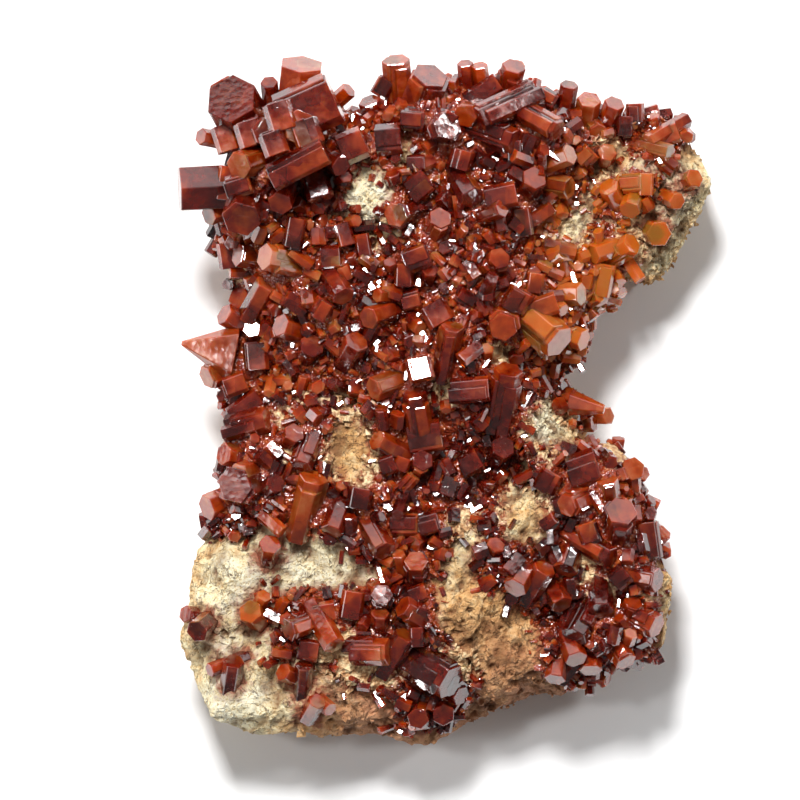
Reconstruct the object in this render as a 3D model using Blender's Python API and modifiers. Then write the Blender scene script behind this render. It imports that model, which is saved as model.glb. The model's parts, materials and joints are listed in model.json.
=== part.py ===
"""Vanadinite on matrix: a hand specimen of hexagonal vanadinite crystals on its host rock.

The specimen lies on a flat sawn underside, crystal side up. Millimetres are used for the
hand-chosen sizes and places, and MM turns them to metres. +X is to the right and +Y to the
top of the specimen as it is shown, +Z is up, and the origin is the bottom centre of the box.
"""
import math
import random
from typing import NamedTuple

import bmesh
import bpy
from mathutils import Matrix, Vector, noise
from mathutils.bvhtree import BVHTree
from mathutils.geometry import intersect_point_line

MM = 0.001
WELD = 0.005 * MM           # corners closer than this are one
OBJECT_NAME = "vanadinite_on_matrix"

# Driving dimensions, in millimetres
STONE_TOP = 15.0            # mean height of the rock's upper face over the sawn base
RIM_WIDTH = 4.5             # how far in from the edge the upper face starts to round off
RIM_DROP = 3.2              # how much the rounding lowers the edge
UNDERCUT = 0.20             # share by which the flanks draw in towards the base
UNDERCUT_CURVE = 1.4        # above 1, most of the undercut is near the base
BASE_CUT = 1.0              # slice that the saw takes off the underside
ROUGHNESS = 0.75            # size of the lumps on the rock
LUMP_SIZE = 4.2             # spacing of those lumps
LEDGE_HEIGHT = 0.9          # step between the broken ledges
LEDGE_SPACING = (7.0, 9.0)  # their mean length across and along the specimen
LEDGE_STEPS = 3.0           # how many steps the unevenness is cut into
LEDGE_SLICE = 3.1           # which slice through the noise gives their layout
SPINE_REACH = 20.0          # square of the distance over which a spine point pulls evenly
STONE_VOXEL = 1.30          # cell of the remeshed rock
STONE_FACES = 740           # triangles left on the rock
SKIN_FACES = 300            # triangles left on the drusy layer's outer face
CLEARANCE = 0.32            # gap kept between the rock and what grows on it
CRUST_THICKNESS = 1.20      # drusy layer from which the crystals rise
CRUST_LOW = 5.5             # how far down the flanks the drusy layer reaches
CRUST_HIGH = 40.0           # above the highest crystal
CRUST_RAGGED = 5.0          # unevenness of the layer's lower edge on the flanks
CRYSTAL_SINK = 0.9          # depth to which a crystal's foot goes below the rock's face
ROOTED_BELOW = 65.0         # lean in degrees up to which a crystal has a foot in the rock
BROAD = 0.68                # share of its width that a lying crystal's upper face takes
PRISM_ANGLE = math.radians(60)
SKY = 60.0                  # height from which the rock is looked for
SKIN_JITTER = (-0.14, 0.35)  # how far the drusy layer's outer face is uneven, in and out
BEVELLED_FROM = 3.9         # crystals this wide show the small pyramid faces
BEVEL_SHARE = 0.10
SMALL_ACROSS = (2.0, 3.4)   # crystals that fill in between the hand-placed ones
SMALL_LENGTH = 0.9          # their length as a share of their width
SMALL_TILT = (8, 50)
SMALL_RISE = (1.0, 1.5)
GAP_FILL = 1.5              # their width as a share of the gap round them
GAP_TRIES = 90              # places tried for each
EDGE_MARGIN = 1.4           # room that they leave to the crust's edge
BARE_MARGIN = 0.8           # and to the bare patches
SEED = 21


class Crystal(NamedTuple):
    """One hexagonal prism: its middle in plan, its size and how its axis leans."""
    x: float
    y: float
    across: float           # corner to corner
    length: float
    heading: float = 0.0    # way the axis leans in plan, degrees from +X
    tilt: float = 20.0      # lean of the axis from upright
    rise: float = 0.9       # height of its middle above the rock
    roll: float = 0.0       # turn about its own axis
    taper: float = 1.0      # width of the free end as a share of the foot's
    wide: float = 0.5       # share of the width that one pair of faces takes


def lying(x, y, width, length, heading, rise=1.4, tilt=84.0):
    """A crystal on its side, its broad upper face of the given width."""
    return Crystal(x, y, width / BROAD, length, heading, tilt, rise, wide=BROAD)


# Edge of the rock in plan, clockwise from the upper left
STONE_OUTLINE = (
    (-22.0, 20.5), (-20.5, 25.5), (-17.5, 29.3), (-14.0, 30.4), (-10.5, 28.2), (-8.6, 27.2),
    (-6.0, 29.4), (-2.0, 31.4), (3.5, 31.6), (8.0, 31.0), (12.0, 29.6), (16.5, 28.6),
    (20.0, 28.5), (22.6, 27.6), (24.4, 26.6), (25.9, 24.8), (26.5, 22.9), (26.6, 21.2),
    (26.0, 19.5), (25.0, 18.4), (24.9, 16.2), (23.5, 14.5), (22.3, 12.5), (20.4, 11.3),
    (17.6, 12.4), (15.9, 10.8), (14.6, 8.8), (13.7, 6.4), (12.6, 4.6), (10.6, 4.2),
    (9.7, 2.4), (10.6, 1.0), (13.2, 0.6), (14.8, -0.4), (14.2, -2.2), (13.2, -4.0),
    (14.6, -4.9), (16.8, -5.0), (18.6, -6.6), (19.4, -9.5), (20.2, -12.5), (20.8, -15.4),
    (22.6, -16.6), (23.0, -19.4), (22.2, -21.8), (22.6, -24.0), (21.4, -25.3), (19.4, -24.8),
    (17.8, -26.2), (15.4, -27.2), (13.0, -28.6), (10.6, -29.6), (8.0, -29.8), (5.6, -31.3),
    (3.6, -31.8), (2.6, -33.2), (0.2, -34.3), (-3.0, -34.2), (-7.0, -33.9), (-12.0, -34.0),
    (-17.5, -33.8), (-21.0, -33.2), (-23.2, -32.8), (-23.6, -31.0), (-24.8, -29.4),
    (-25.3, -27.4), (-26.1, -25.6), (-26.8, -23.8), (-26.2, -21.6), (-26.1, -20.0),
    (-24.8, -18.8), (-24.9, -16.0), (-24.2, -14.2), (-23.2, -12.6), (-23.2, -10.2),
    (-22.6, -8.0), (-21.6, -5.6), (-20.8, -3.0), (-21.2, -0.6), (-22.4, 1.4), (-22.8, 3.6),
    (-21.8, 6.0), (-20.6, 7.8), (-20.0, 9.6), (-20.8, 11.6), (-21.4, 13.6), (-21.6, 15.8),
    (-22.0, 18.0),
)

# Middle line of the specimen: the flanks draw in towards its nearest point
SPINE = ((-13.0, 23.0), (2.0, 22.0), (16.0, 21.0), (-4.0, 6.0), (-2.0, -6.0), (8.0, -18.0),
         (-12.0, -21.0))

# Swells and hollows of the upper face: x, y, radius, height
RELIEF = (
    (-16.0, 25.0, 8.0, 3.2), (-0.5, 29.0, 7.5, 2.6), (19.5, 21.0, 8.0, -2.4),
    (-1.5, 11.0, 12.0, 2.2), (-21.0, 4.0, 6.0, -2.2), (4.6, -8.0, 3.8, -3.4),
    (12.4, -21.0, 3.6, -3.6), (-16.5, -21.0, 9.0, -2.4), (3.4, -21.5, 4.6, 2.6),
    (16.0, -12.0, 5.0, 1.8), (14.8, -1.0, 3.4, -4.0), (0.0, -33.0, 9.0, -3.4),
    (-20.0, -31.0, 6.0, -1.6), (-10.0, -5.5, 3.0, 1.2), (7.6, -11.4, 2.6, 1.4),
    (-8.0, 19.2, 2.6, 1.0), (9.6, -3.0, 2.4, 1.6), (20.5, 12.6, 4.0, -1.8),
)

UPPER_LEFT_EDGE = (
    (-29.0, 37.0), (-9.5, 37.0), (-9.5, 30.5), (-8.5, 28.0), (-8.1, 25.0), (-9.6, 22.3),
    (-11.0, 20.9), (-11.2, 19.0), (-14.6, 18.4), (-17.6, 16.6), (-20.5, 16.0), (-29.0, 15.6),
)
MAIN_EDGE = (
    (-9.0, 37.0), (-9.0, 30.5), (-8.0, 28.0), (-7.5, 24.2), (-4.8, 22.2), (-5.0, 19.6),
    (-7.0, 16.4), (-9.3, 16.2), (-10.8, 18.2), (-14.3, 17.8), (-17.3, 15.9), (-20.5, 15.3),
    (-29.0, 14.9), (-29.0, -13.4), (-23.8, -13.0), (-20.0, -12.8), (-16.0, -11.8),
    (-12.5, -12.8), (-9.8, -14.6), (-7.4, -16.6), (-5.0, -17.9), (-1.6, -18.0), (-0.4, -15.6),
    (0.6, -12.8), (2.6, -11.2), (4.6, -14.2), (5.6, -11.0), (5.2, -8.2), (7.0, -6.2),
    (7.6, -4.4), (7.8, -1.4), (9.8, 0.6), (12.0, 2.2), (16.0, 4.6), (15.0, 8.8), (14.2, 9.6),
    (13.6, 14.6), (10.8, 16.0), (11.0, 18.2), (14.6, 21.6), (13.4, 25.4), (17.6, 26.6),
    (19.5, 26.9), (19.7, 37.0),
)
LOWER_RIGHT_EDGE = (
    (8.0, -5.0), (10.6, -4.9), (13.2, -4.7), (17.0, -4.6), (20.0, -6.6), (20.6, -10.0),
    (21.8, -14.6), (20.6, -17.4), (21.6, -20.0), (20.6, -23.0), (21.0, -25.4), (18.6, -26.2),
    (12.6, -28.8), (10.2, -26.2), (9.8, -22.2), (8.2, -19.4), (5.6, -18.6), (3.0, -17.0),
    (3.2, -15.2), (5.4, -14.8), (10.2, -14.8), (10.4, -10.0), (8.4, -7.4),
)
LOWER_MIDDLE_EDGE = (
    (-17.0, -19.8), (-10.0, -19.2), (-6.8, -18.9), (-4.6, -19.2), (-1.4, -19.4), (-1.0, -24.0),
    (2.4, -26.4), (2.6, -30.0), (0.6, -33.0), (-4.2, -33.2), (-4.6, -29.6), (-9.4, -28.6),
    (-12.0, -26.2), (-17.0, -25.2),
)
ORANGE_EDGE = (
    (13.9, 15.8), (16.0, 17.2), (19.4, 17.2), (19.8, 14.0), (17.6, 12.8), (16.6, 10.2),
    (15.2, 9.6), (14.4, 11.2), (14.3, 13.2),
)
SHOULDER_EDGE = (
    (15.6, 22.4), (20.9, 22.4), (20.9, 19.8), (18.6, 17.9), (15.4, 18.5),
)
RIM_EDGE = (
    (20.2, 27.6), (20.4, 29.6), (24.6, 29.4), (24.2, 26.2), (21.4, 24.0), (19.6, 24.8),
)
SPUR_EDGE = (
    (11.4, 0.2), (11.8, 1.6), (17.4, 1.8), (17.4, -1.8), (14.4, -2.4), (12.4, -1.2),
)
# Bare rock that shows through the crust
BARE_PATCHES = (
    ((-12.2, -3.0), (-9.0, -1.0), (-7.0, -3.4), (-7.2, -7.6), (-9.6, -9.0), (-12.0, -6.4)),
    ((-11.2, 1.0), (-8.6, 1.4), (-8.0, -0.6), (-10.4, -0.8)),
    ((-1.6, 2.0), (0.8, 2.2), (1.4, -0.2), (-1.2, -0.8)),
    ((3.8, 5.4), (6.8, 5.6), (6.4, 4.0), (4.0, 3.8)),
    ((-4.4, 26.6), (-3.3, 26.4), (-3.2, 22.8), (-4.3, 22.4)),
)

UPPER_LEFT = (
    Crystal(-20.9, 29.3, 5.4, 3.6, 120, 28, 4.4), Crystal(-14.5, 31.6, 4.6, 4.2, 84, 66, 4.8, 30),
    lying(-13.5, 28.9, 3.6, 5.6, 24, 5.4), lying(-16.4, 28.1, 2.0, 2.9, 287, 6.0),
    lying(-19.4, 26.5, 2.0, 2.6, 287, 5.5), lying(-21.9, 26.1, 1.7, 2.7, 288, 4.4),
    lying(-17.0, 25.4, 1.8, 2.3, 290, 5.2), lying(-13.7, 26.5, 2.0, 2.6, 290, 4.4),
    lying(-14.6, 23.4, 2.0, 6.1, 27, 4.6), lying(-9.2, 25.3, 2.3, 2.6, 23, 2.8),
    Crystal(-19.7, 23.6, 3.0, 3.0, 200, 40, 3.8), Crystal(-24.1, 21.2, 5.0, 5.0, 183, 84, 3.2, 30),
    Crystal(-20.1, 18.8, 4.0, 3.2, 255, 32, 3.6), lying(-20.5, 21.4, 1.7, 2.4, 18, 4.6),
    lying(-22.0, 21.7, 1.1, 3.4, 82, 4.6), Crystal(-10.3, 30.4, 1.8, 2.2, 40, 60, 2.6),
    Crystal(-17.5, 31.0, 1.8, 2.2, 95, 42, 3.8), Crystal(-21.5, 31.0, 2.0, 2.2, 115, 55, 3.0),
    lying(-12.7, 21.2, 1.9, 2.6, 285, 2.6, 70), Crystal(-23.6, 26.2, 1.8, 2.2, 170, 50, 2.6),
    Crystal(-16.2, 20.2, 2.6, 2.6, 250, 35, 2.6), Crystal(-22.8, 18.8, 2.2, 2.4, 200, 50, 2.0),
    Crystal(-11.0, 23.6, 2.2, 2.4, 330, 40, 2.2), Crystal(-14.9, 27.0, 3.6, 2.8, 10, 20, 3.4),
    Crystal(-15.2, 23.4, 2.8, 2.6, 20, 10, 2.8), Crystal(-18.0, 26.6, 3.0, 2.8, 20, 10, 3.6),
)
MAIN = (
    Crystal(-4.7, 32.6, 3.2, 3.4, 95, 62, 2.4), Crystal(-2.0, 31.1, 4.5, 3.8, 68, 50, 3.2, 30),
    lying(-6.1, 31.4, 1.3, 1.8, 60, 1.8), Crystal(-7.2, 28.9, 2.4, 2.6, 110, 60, 1.8),
    lying(-5.6, 26.0, 2.2, 2.6, 5, 1.8), lying(-3.1, 27.9, 1.6, 2.1, 355, 1.7),
    Crystal(-0.2, 27.1, 3.5, 3.0, 20, 18, 1.8), lying(0.4, 28.0, 1.1, 1.4, 60, 3.3),
    lying(3.8, 30.8, 1.5, 3.8, 33, 2.2), Crystal(6.1, 29.2, 3.2, 6.6, 205, 66, 2.8, 0, 1.0, 0.62),
    Crystal(6.6, 32.3, 3.0, 3.0, 75, 52, 2.2), Crystal(3.6, 32.6, 1.7, 2.2, 100, 60, 1.8),
    Crystal(2.1, 32.9, 1.7, 2.0, 95, 60, 1.6), lying(10.4, 30.2, 1.3, 1.7, 330, 1.7),
    Crystal(12.3, 30.6, 1.9, 2.4, 80, 60, 1.6), Crystal(14.3, 29.2, 2.5, 2.6, 80, 45, 1.4),
    Crystal(16.7, 28.9, 2.2, 2.4, 70, 50, 1.4), lying(19.1, 28.8, 1.3, 1.9, 92, 1.3),
    lying(18.1, 27.5, 1.3, 2.0, 86, 1.4), Crystal(15.0, 27.4, 1.9, 2.0, 300, 40, 1.4),
    Crystal(10.2, 27.4, 2.8, 2.8, 330, 60, 1.6), Crystal(2.6, 28.6, 2.6, 2.6, 200, 30, 1.4),
    Crystal(5.8, 26.2, 3.2, 3.0, 340, 60, 1.4), lying(6.9, 24.9, 1.2, 2.0, 92, 1.5),
    lying(1.6, 24.0, 1.7, 2.0, 75, 1.5), lying(-2.9, 23.6, 1.2, 1.8, 2, 1.4),
    lying(-2.6, 21.5, 1.9, 2.3, 40, 1.5), lying(14.2, 24.4, 1.4, 1.6, 45, 1.4),
    Crystal(4.9, 18.8, 1.9, 2.2, 20, 50, 1.5), lying(5.6, 20.3, 1.8, 3.2, 12, 1.5),
    lying(7.8, 17.8, 1.3, 2.8, 98, 1.5), Crystal(8.6, 21.6, 2.6, 2.6, 60, 30, 1.4),
    Crystal(11.4, 21.4, 2.4, 2.6, 350, 60, 1.3), Crystal(11.6, 24.2, 2.2, 2.4, 20, 55, 1.3),
    Crystal(-4.4, 18.6, 3.1, 2.8, 200, 25, 1.3), Crystal(-0.8, 17.6, 2.9, 2.6, 60, 30, 1.4),
    lying(-15.0, 16.7, 1.4, 3.0, 80, 1.5), lying(-10.0, 16.5, 1.2, 2.3, 285, 1.4),
    lying(-8.2, 15.5, 1.1, 2.2, 100, 1.4), Crystal(-16.8, 14.1, 3.4, 3.0, 170, 55, 1.3),
    lying(-11.4, 14.3, 1.6, 1.9, 5, 1.4), Crystal(-19.6, 14.3, 2.4, 2.8, 170, 60, 1.2),
    lying(-2.7, 14.2, 1.8, 2.4, 20, 1.5), lying(-4.1, 12.5, 1.4, 2.3, 88, 1.4),
    lying(-3.3, 10.0, 1.5, 1.8, 15, 1.4), lying(-0.8, 8.6, 2.0, 2.3, 300, 1.5),
    Crystal(5.0, 13.7, 2.8, 2.6, 45, 30, 1.5), lying(7.2, 10.0, 1.9, 2.2, 60, 1.5),
    Crystal(5.9, 7.7, 3.6, 3.0, 250, 18, 1.8), lying(4.3, 10.8, 1.0, 1.8, 85, 1.4),
    lying(9.0, 11.7, 1.2, 2.0, 82, 1.4), lying(9.8, 9.3, 1.6, 3.0, 20, 1.4),
    Crystal(10.0, 6.9, 4.4, 4.2, 320, 60, 1.4), Crystal(12.7, 6.4, 2.8, 3.0, 340, 60, 1.0),
    Crystal(-7.0, 8.4, 2.4, 2.2, 200, 40, 1.4), Crystal(0.5, 6.3, 2.8, 2.4, 80, 60, 1.3),
    lying(-2.4, 3.0, 1.7, 2.2, 284, 1.5, 74), Crystal(-13.5, 5.1, 2.6, 2.2, 90, 15, 1.4),
    lying(-18.9, 4.3, 1.7, 2.7, 275, 1.4), Crystal(-19.3, 6.9, 1.9, 1.8, 103, 17, 1.7),
    Crystal(-15.6, 7.2, 2.5, 2.4, 160, 50, 1.3), lying(-12.2, 9.1, 1.6, 1.9, 60, 1.4),
    Crystal(-10.5, 11.0, 2.4, 2.2, 300, 50, 1.3),
    Crystal(-23.8, 5.2, 6.0, 5.4, 169, 84, 1.1, 0, 0.08, 0.66),
    Crystal(-22.8, 2.8, 3.0, 3.0, 205, 60, 1.0), Crystal(-21.2, 8.1, 2.4, 2.6, 150, 60, 1.2),
    Crystal(-20.0, 10.0, 2.6, 2.6, 160, 40, 1.3), lying(-21.8, 14.5, 1.4, 2.6, 98, 1.2),
    lying(-21.0, 1.6, 1.5, 2.2, 20, 1.3), lying(-20.0, -0.7, 1.5, 3.6, 36, 1.4),
    Crystal(-19.4, -2.4, 3.2, 3.6, 15, 70, 1.3), Crystal(-21.2, -5.6, 2.7, 2.8, 170, 45, 1.3),
    Crystal(-20.2, -8.2, 4.7, 3.6, 200, 30, 1.5), Crystal(-22.7, -10.4, 3.4, 3.1, 200, 58, 1.0),
    Crystal(-17.3, -8.6, 2.1, 2.0, 40, 30, 1.3), Crystal(-13.5, -9.1, 3.6, 3.4, 75, 60, 1.3),
    Crystal(-15.3, -3.7, 2.2, 2.0, 60, 30, 1.2), Crystal(-14.0, -5.6, 2.8, 2.6, 250, 60, 1.0),
    lying(-8.5, -9.8, 1.7, 2.1, 80, 1.3), lying(-5.7, -6.5, 1.4, 1.6, 20, 1.4),
    lying(-4.3, -6.4, 1.2, 1.4, 70, 1.4), Crystal(-2.4, -6.3, 2.7, 2.2, 60, 18, 1.7),
    lying(-2.0, -3.6, 2.2, 3.4, 10, 1.4), Crystal(-6.0, -4.4, 2.3, 2.4, 150, 55, 1.2),
    lying(0.4, -8.8, 1.3, 1.7, 250, 1.4), lying(-4.0, -12.5, 1.6, 2.6, 0, 1.3),
    lying(-1.5, -12.3, 1.6, 1.9, 15, 1.3), Crystal(-2.9, -0.5, 3.0, 2.8, 100, 60, 1.2),
    lying(2.5, 1.0, 1.8, 3.8, 5, 1.4), Crystal(6.1, 1.6, 3.6, 3.4, 80, 60, 1.4),
    Crystal(-2.9, -16.6, 2.9, 2.2, 90, 28, 1.2), lying(2.6, -6.3, 1.6, 2.0, 30, 2.2),
    Crystal(5.6, -5.1, 2.5, 2.2, 60, 25, 1.9), Crystal(-6.6, -14.2, 2.6, 2.6, 300, 55, 1.2),
    Crystal(-18.2, 10.8, 2.6, 2.6, 60, 55, 1.2), Crystal(12.6, 10.6, 2.4, 2.4, 0, 60, 1.2),
    Crystal(2.2, 20.9, 2.6, 2.4, 300, 50, 1.4), Crystal(-9.2, 5.2, 2.6, 2.4, 60, 40, 1.3),
    Crystal(-6.2, 1.4, 2.6, 2.4, 200, 60, 1.2), Crystal(-11.0, -12.2, 2.4, 2.4, 250, 60, 1.0),
)
LOWER_RIGHT = (
    lying(13.9, -6.8, 2.4, 3.0, 20, 1.4), lying(10.3, -8.1, 1.7, 2.1, 60, 1.4),
    Crystal(18.6, -7.2, 2.5, 2.4, 50, 22, 1.3), Crystal(17.4, -12.0, 4.0, 3.4, 80, 34, 1.4),
    lying(20.4, -14.0, 1.6, 3.6, 98, 1.3), lying(14.3, -13.2, 1.5, 2.0, 110, 1.4),
    Crystal(9.5, -17.6, 2.4, 2.4, 60, 55, 1.2), lying(17.5, -17.7, 1.6, 1.8, 40, 1.4),
    Crystal(18.6, -20.9, 2.0, 2.0, 70, 45, 1.2), Crystal(19.8, -22.0, 3.2, 3.6, 335, 60, 1.0),
    Crystal(17.4, -25.0, 2.8, 3.4, 300, 60, 1.0), Crystal(12.8, -25.0, 2.4, 2.6, 290, 50, 1.2),
    Crystal(13.6, -22.6, 3.2, 3.2, 240, 55, 1.6), Crystal(7.4, -18.0, 2.6, 2.4, 240, 50, 1.2),
    Crystal(16.4, -9.0, 2.2, 2.4, 100, 60, 1.2), Crystal(13.0, -10.2, 3.0, 2.8, 200, 45, 1.2),
    Crystal(15.6, -15.2, 2.8, 2.6, 330, 60, 1.2), Crystal(12.4, -16.0, 2.6, 2.6, 250, 60, 1.2),
    Crystal(20.0, -17.8, 2.6, 3.0, 350, 60, 1.2), Crystal(15.6, -20.0, 2.6, 2.8, 270, 50, 1.4),
    Crystal(14.6, -26.0, 2.4, 2.6, 270, 60, 0.9), Crystal(11.2, -19.6, 2.4, 2.6, 300, 55, 1.6),
    Crystal(11.2, -27.0, 2.2, 2.4, 260, 60, 0.9),
)
LOWER_MIDDLE = (
    Crystal(-6.3, -19.8, 2.7, 2.2, 90, 17, 1.5), lying(-2.7, -19.4, 1.3, 1.8, 20, 1.3),
    lying(-9.3, -20.5, 1.7, 2.8, 80, 1.4), Crystal(-6.5, -22.0, 1.9, 2.2, 90, 40, 1.3),
    lying(-2.8, -23.7, 1.1, 2.0, 92, 1.4), Crystal(-7.2, -25.2, 3.4, 3.4, 0, 70, 1.2),
    Crystal(-0.8, -27.4, 4.6, 3.8, 330, 60, 1.6), Crystal(-2.6, -31.6, 2.3, 2.2, 255, 22, 1.2),
    Crystal(-0.3, -31.3, 2.4, 2.2, 300, 20, 1.2), Crystal(-14.6, -22.6, 3.0, 2.8, 200, 60, 1.2),
    lying(-12.0, -21.3, 1.6, 2.2, 10, 1.3), lying(-13.6, -25.0, 1.5, 2.0, 350, 1.2),
    Crystal(-11.6, -23.6, 2.4, 2.6, 300, 60, 1.2), Crystal(-3.2, -21.2, 2.8, 2.8, 150, 60, 1.2),
    Crystal(-4.4, -24.4, 2.4, 2.4, 60, 60, 1.2), Crystal(0.8, -29.2, 2.2, 2.6, 330, 50, 1.0),
)
ORANGE = (
    Crystal(17.9, 15.2, 2.8, 2.6, 30, 50, 1.2), Crystal(15.6, 14.9, 2.2, 2.2, 200, 55, 1.2),
    lying(15.7, 12.2, 1.7, 3.0, 80, 1.2), Crystal(15.2, 10.8, 2.0, 2.4, 300, 55, 0.9),
)
SHOULDER = (
    lying(18.7, 21.7, 1.4, 1.9, 4, 1.4), lying(20.1, 21.6, 1.1, 2.2, 88, 1.4),
    Crystal(16.8, 20.6, 2.2, 2.6, 120, 42, 1.3), Crystal(18.7, 19.7, 2.2, 2.4, 250, 40, 1.3),
)
RIM = (
    lying(22.5, 26.7, 1.6, 2.0, 20, 1.4), Crystal(21.2, 26.4, 1.7, 2.2, 210, 60, 1.2),
    Crystal(21.6, 25.0, 1.9, 2.4, 345, 60, 1.2),
)
SPUR = (
    Crystal(12.6, 0.2, 1.7, 2.0, 120, 35, 1.0),
    Crystal(14.3, -0.6, 2.8, 3.6, -12, 78, 1.1, 0, 0.35),
)
# Crystals that stand alone or in pairs on bare rock
SINGLES = {
    "left_edge_pair": (Crystal(-24.4, -22.8, 2.4, 2.2, 220, 35, 0.8),
                       Crystal(-25.4, -21.6, 1.8, 2.0, 170, 45, 0.7)),
    "slab_crystal": (Crystal(-17.6, -15.0, 2.3, 2.4, 80, 30, 1.1),),
    "slab_pair": (Crystal(-19.2, -21.6, 2.5, 2.4, 110, 20, 1.0),
                  Crystal(-18.4, -20.1, 1.5, 1.8, 60, 40, 0.9)),
    "lower_left_prism": (Crystal(-21.3, -27.2, 2.2, 2.8, 80, 50, 1.0),
                         Crystal(-22.8, -26.8, 1.5, 2.0, 200, 60, 0.9)),
    "bottom_prism": (Crystal(-14.2, -27.6, 1.9, 2.6, 85, 55, 0.9),
                     Crystal(-15.6, -27.6, 1.9, 2.2, 150, 45, 0.8)),
    "bottom_pair": (Crystal(-13.1, -30.7, 1.9, 2.0, 60, 40, 0.9),
                    Crystal(-12.0, -30.6, 1.6, 1.8, 320, 50, 0.8)),
    "shoulder_disc": (Crystal(21.2, 16.8, 2.7, 2.0, 330, 20, 0.9),),
    "shoulder_bead": (Crystal(22.9, 20.1, 1.8, 1.8, 330, 30, 0.8),),
    "tip_crystal": (Crystal(24.6, 22.0, 2.0, 1.9, 30, 35, 0.8),),
    "chip_crystal": (Crystal(16.2, 24.5, 2.0, 2.0, 80, 20, 0.9),),
}
# Crusts: node name, edge, hand-placed crystals, number of small ones between them
CRUSTS = (
    ("upper_left_cluster", UPPER_LEFT_EDGE, UPPER_LEFT, 0),
    ("main_crust", MAIN_EDGE, MAIN, 7),
    ("lower_right_crust", LOWER_RIGHT_EDGE, LOWER_RIGHT, 0),
    ("lower_middle_crust", LOWER_MIDDLE_EDGE, LOWER_MIDDLE, 0),
    ("orange_crust", ORANGE_EDGE, ORANGE, 0),
    ("shoulder_crust", SHOULDER_EDGE, SHOULDER, 0),
    ("rim_crust", RIM_EDGE, RIM, 0),
    ("right_spur", SPUR_EDGE, SPUR, 0),
)
FINISHES = {
    "matrix": ((0.58, 0.42, 0.22), 0.9),
    "crystal": ((0.33, 0.03, 0.008), 0.2),
    "orange_crystal": ((0.50, 0.13, 0.012), 0.25),
}
ORANGE_NODES = ("orange_crust", "shoulder_crust", "shoulder_disc", "shoulder_bead",
                "tip_crystal", "slab_pair")


def clear_scene():
    for item in list(bpy.data.objects):
        bpy.data.objects.remove(item, do_unlink=True)


def new_collection(name):
    folder = bpy.data.collections.new(name)
    bpy.context.scene.collection.children.link(folder)
    return folder


def finish(name, kind):
    """A Principled material of one of the three finishes, named for its node."""
    colour, rough = FINISHES[kind]
    material = bpy.data.materials.new(name)
    material.use_nodes = True
    shader = material.node_tree.nodes["Principled BSDF"]
    shader.inputs["Base Color"].default_value = (*colour, 1.0)
    shader.inputs["Roughness"].default_value = rough
    shader.inputs["Metallic"].default_value = 0.0
    return material


def add_object(name, mesh, folder):
    item = bpy.data.objects.new(name, mesh)
    folder.objects.link(item)
    return item


def apply_modifiers(item):
    """Turn the evaluated shape into the object's own mesh."""
    bpy.context.view_layer.update()
    graph = bpy.context.evaluated_depsgraph_get()
    mesh = bpy.data.meshes.new_from_object(item.evaluated_get(graph))
    item.modifiers.clear()
    item.data = mesh
    return item


def outline_solid(name, points, low, high, folder):
    """An upright solid on an outline in plan, from a filled 2D curve."""
    curve = bpy.data.curves.new(name + "_outline", "CURVE")
    curve.dimensions = "2D"
    curve.fill_mode = "BOTH"
    curve.extrude = (high - low) / 2 * MM
    spline = curve.splines.new("POLY")
    spline.points.add(len(points) - 1)
    for point, (x, y) in zip(spline.points, points):
        point.co = (x * MM, y * MM, 0, 1)
    spline.use_cyclic_u = True
    guide = add_object(name + "_outline", curve, folder)
    bpy.context.view_layer.update()
    graph = bpy.context.evaluated_depsgraph_get()
    mesh = bpy.data.meshes.new_from_object(guide.evaluated_get(graph))
    mesh.transform(Matrix.Translation((0, 0, (low + high) / 2 * MM)))
    bpy.data.objects.remove(guide, do_unlink=True)
    form = bmesh.new()
    form.from_mesh(mesh)
    bmesh.ops.remove_doubles(form, verts=form.verts, dist=WELD)
    bmesh.ops.recalc_face_normals(form, faces=form.faces)
    form.to_mesh(mesh)
    form.free()
    return add_object(name, mesh, folder)


def to_segments(x, y, points):
    """Distance in plan from a place to a closed outline."""
    place = Vector((x, y))
    best = math.inf
    for i, start in enumerate(points):
        a = Vector(start)
        b = Vector(points[(i + 1) % len(points)])
        foot, share = intersect_point_line(place, a, b)
        share = min(max(share, 0.0), 1.0)
        best = min(best, (a.lerp(b, share) - place).length)
    return best


def is_inside(x, y, points):
    inside = False
    for i, (ax, ay) in enumerate(points):
        bx, by = points[i - 1]
        if (ay > y) != (by > y) and x < (bx - ax) * (y - ay) / (by - ay) + ax:
            inside = not inside
    return inside


def face_height(x, y):
    """Height of the rock's upper face, in millimetres, before the lumps."""
    height = STONE_TOP
    for cx, cy, radius, swell in RELIEF:
        height += swell * math.exp(-((x - cx) ** 2 + (y - cy) ** 2) / (radius * radius))
    ledges = noise.noise(Vector((x / LEDGE_SPACING[0], y / LEDGE_SPACING[1], LEDGE_SLICE)))
    height += LEDGE_HEIGHT * round(ledges * LEDGE_STEPS)
    edge = min(to_segments(x, y, STONE_OUTLINE) / RIM_WIDTH, 1.0)
    return height - RIM_DROP * (1.0 - edge) ** 2


def spine_point(x, y):
    """Weighted middle of the specimen near a place."""
    total = Vector((0.0, 0.0))
    weight = 0.0
    for sx, sy in SPINE:
        pull = 1.0 / ((x - sx) ** 2 + (y - sy) ** 2 + SPINE_REACH) ** 2
        total += Vector((sx, sy)) * pull
        weight += pull
    return total / weight


def shape_stone(mesh):
    """Give the slab its relief, drawn-in flanks and lumps."""
    for vertex in mesh.vertices:
        x, y, z = vertex.co / MM
        top = face_height(x, y)
        level = z / STONE_TOP
        middle = spine_point(x, y)
        draw = UNDERCUT * max(1.0 - level, 0.0) ** UNDERCUT_CURVE
        x += (middle.x - x) * draw
        y += (middle.y - y) * draw
        place = Vector((x, y, level * top))
        lump = noise.turbulence_vector(place / LUMP_SIZE, 3, False)
        vertex.co = (place + lump * ROUGHNESS) * MM


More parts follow.
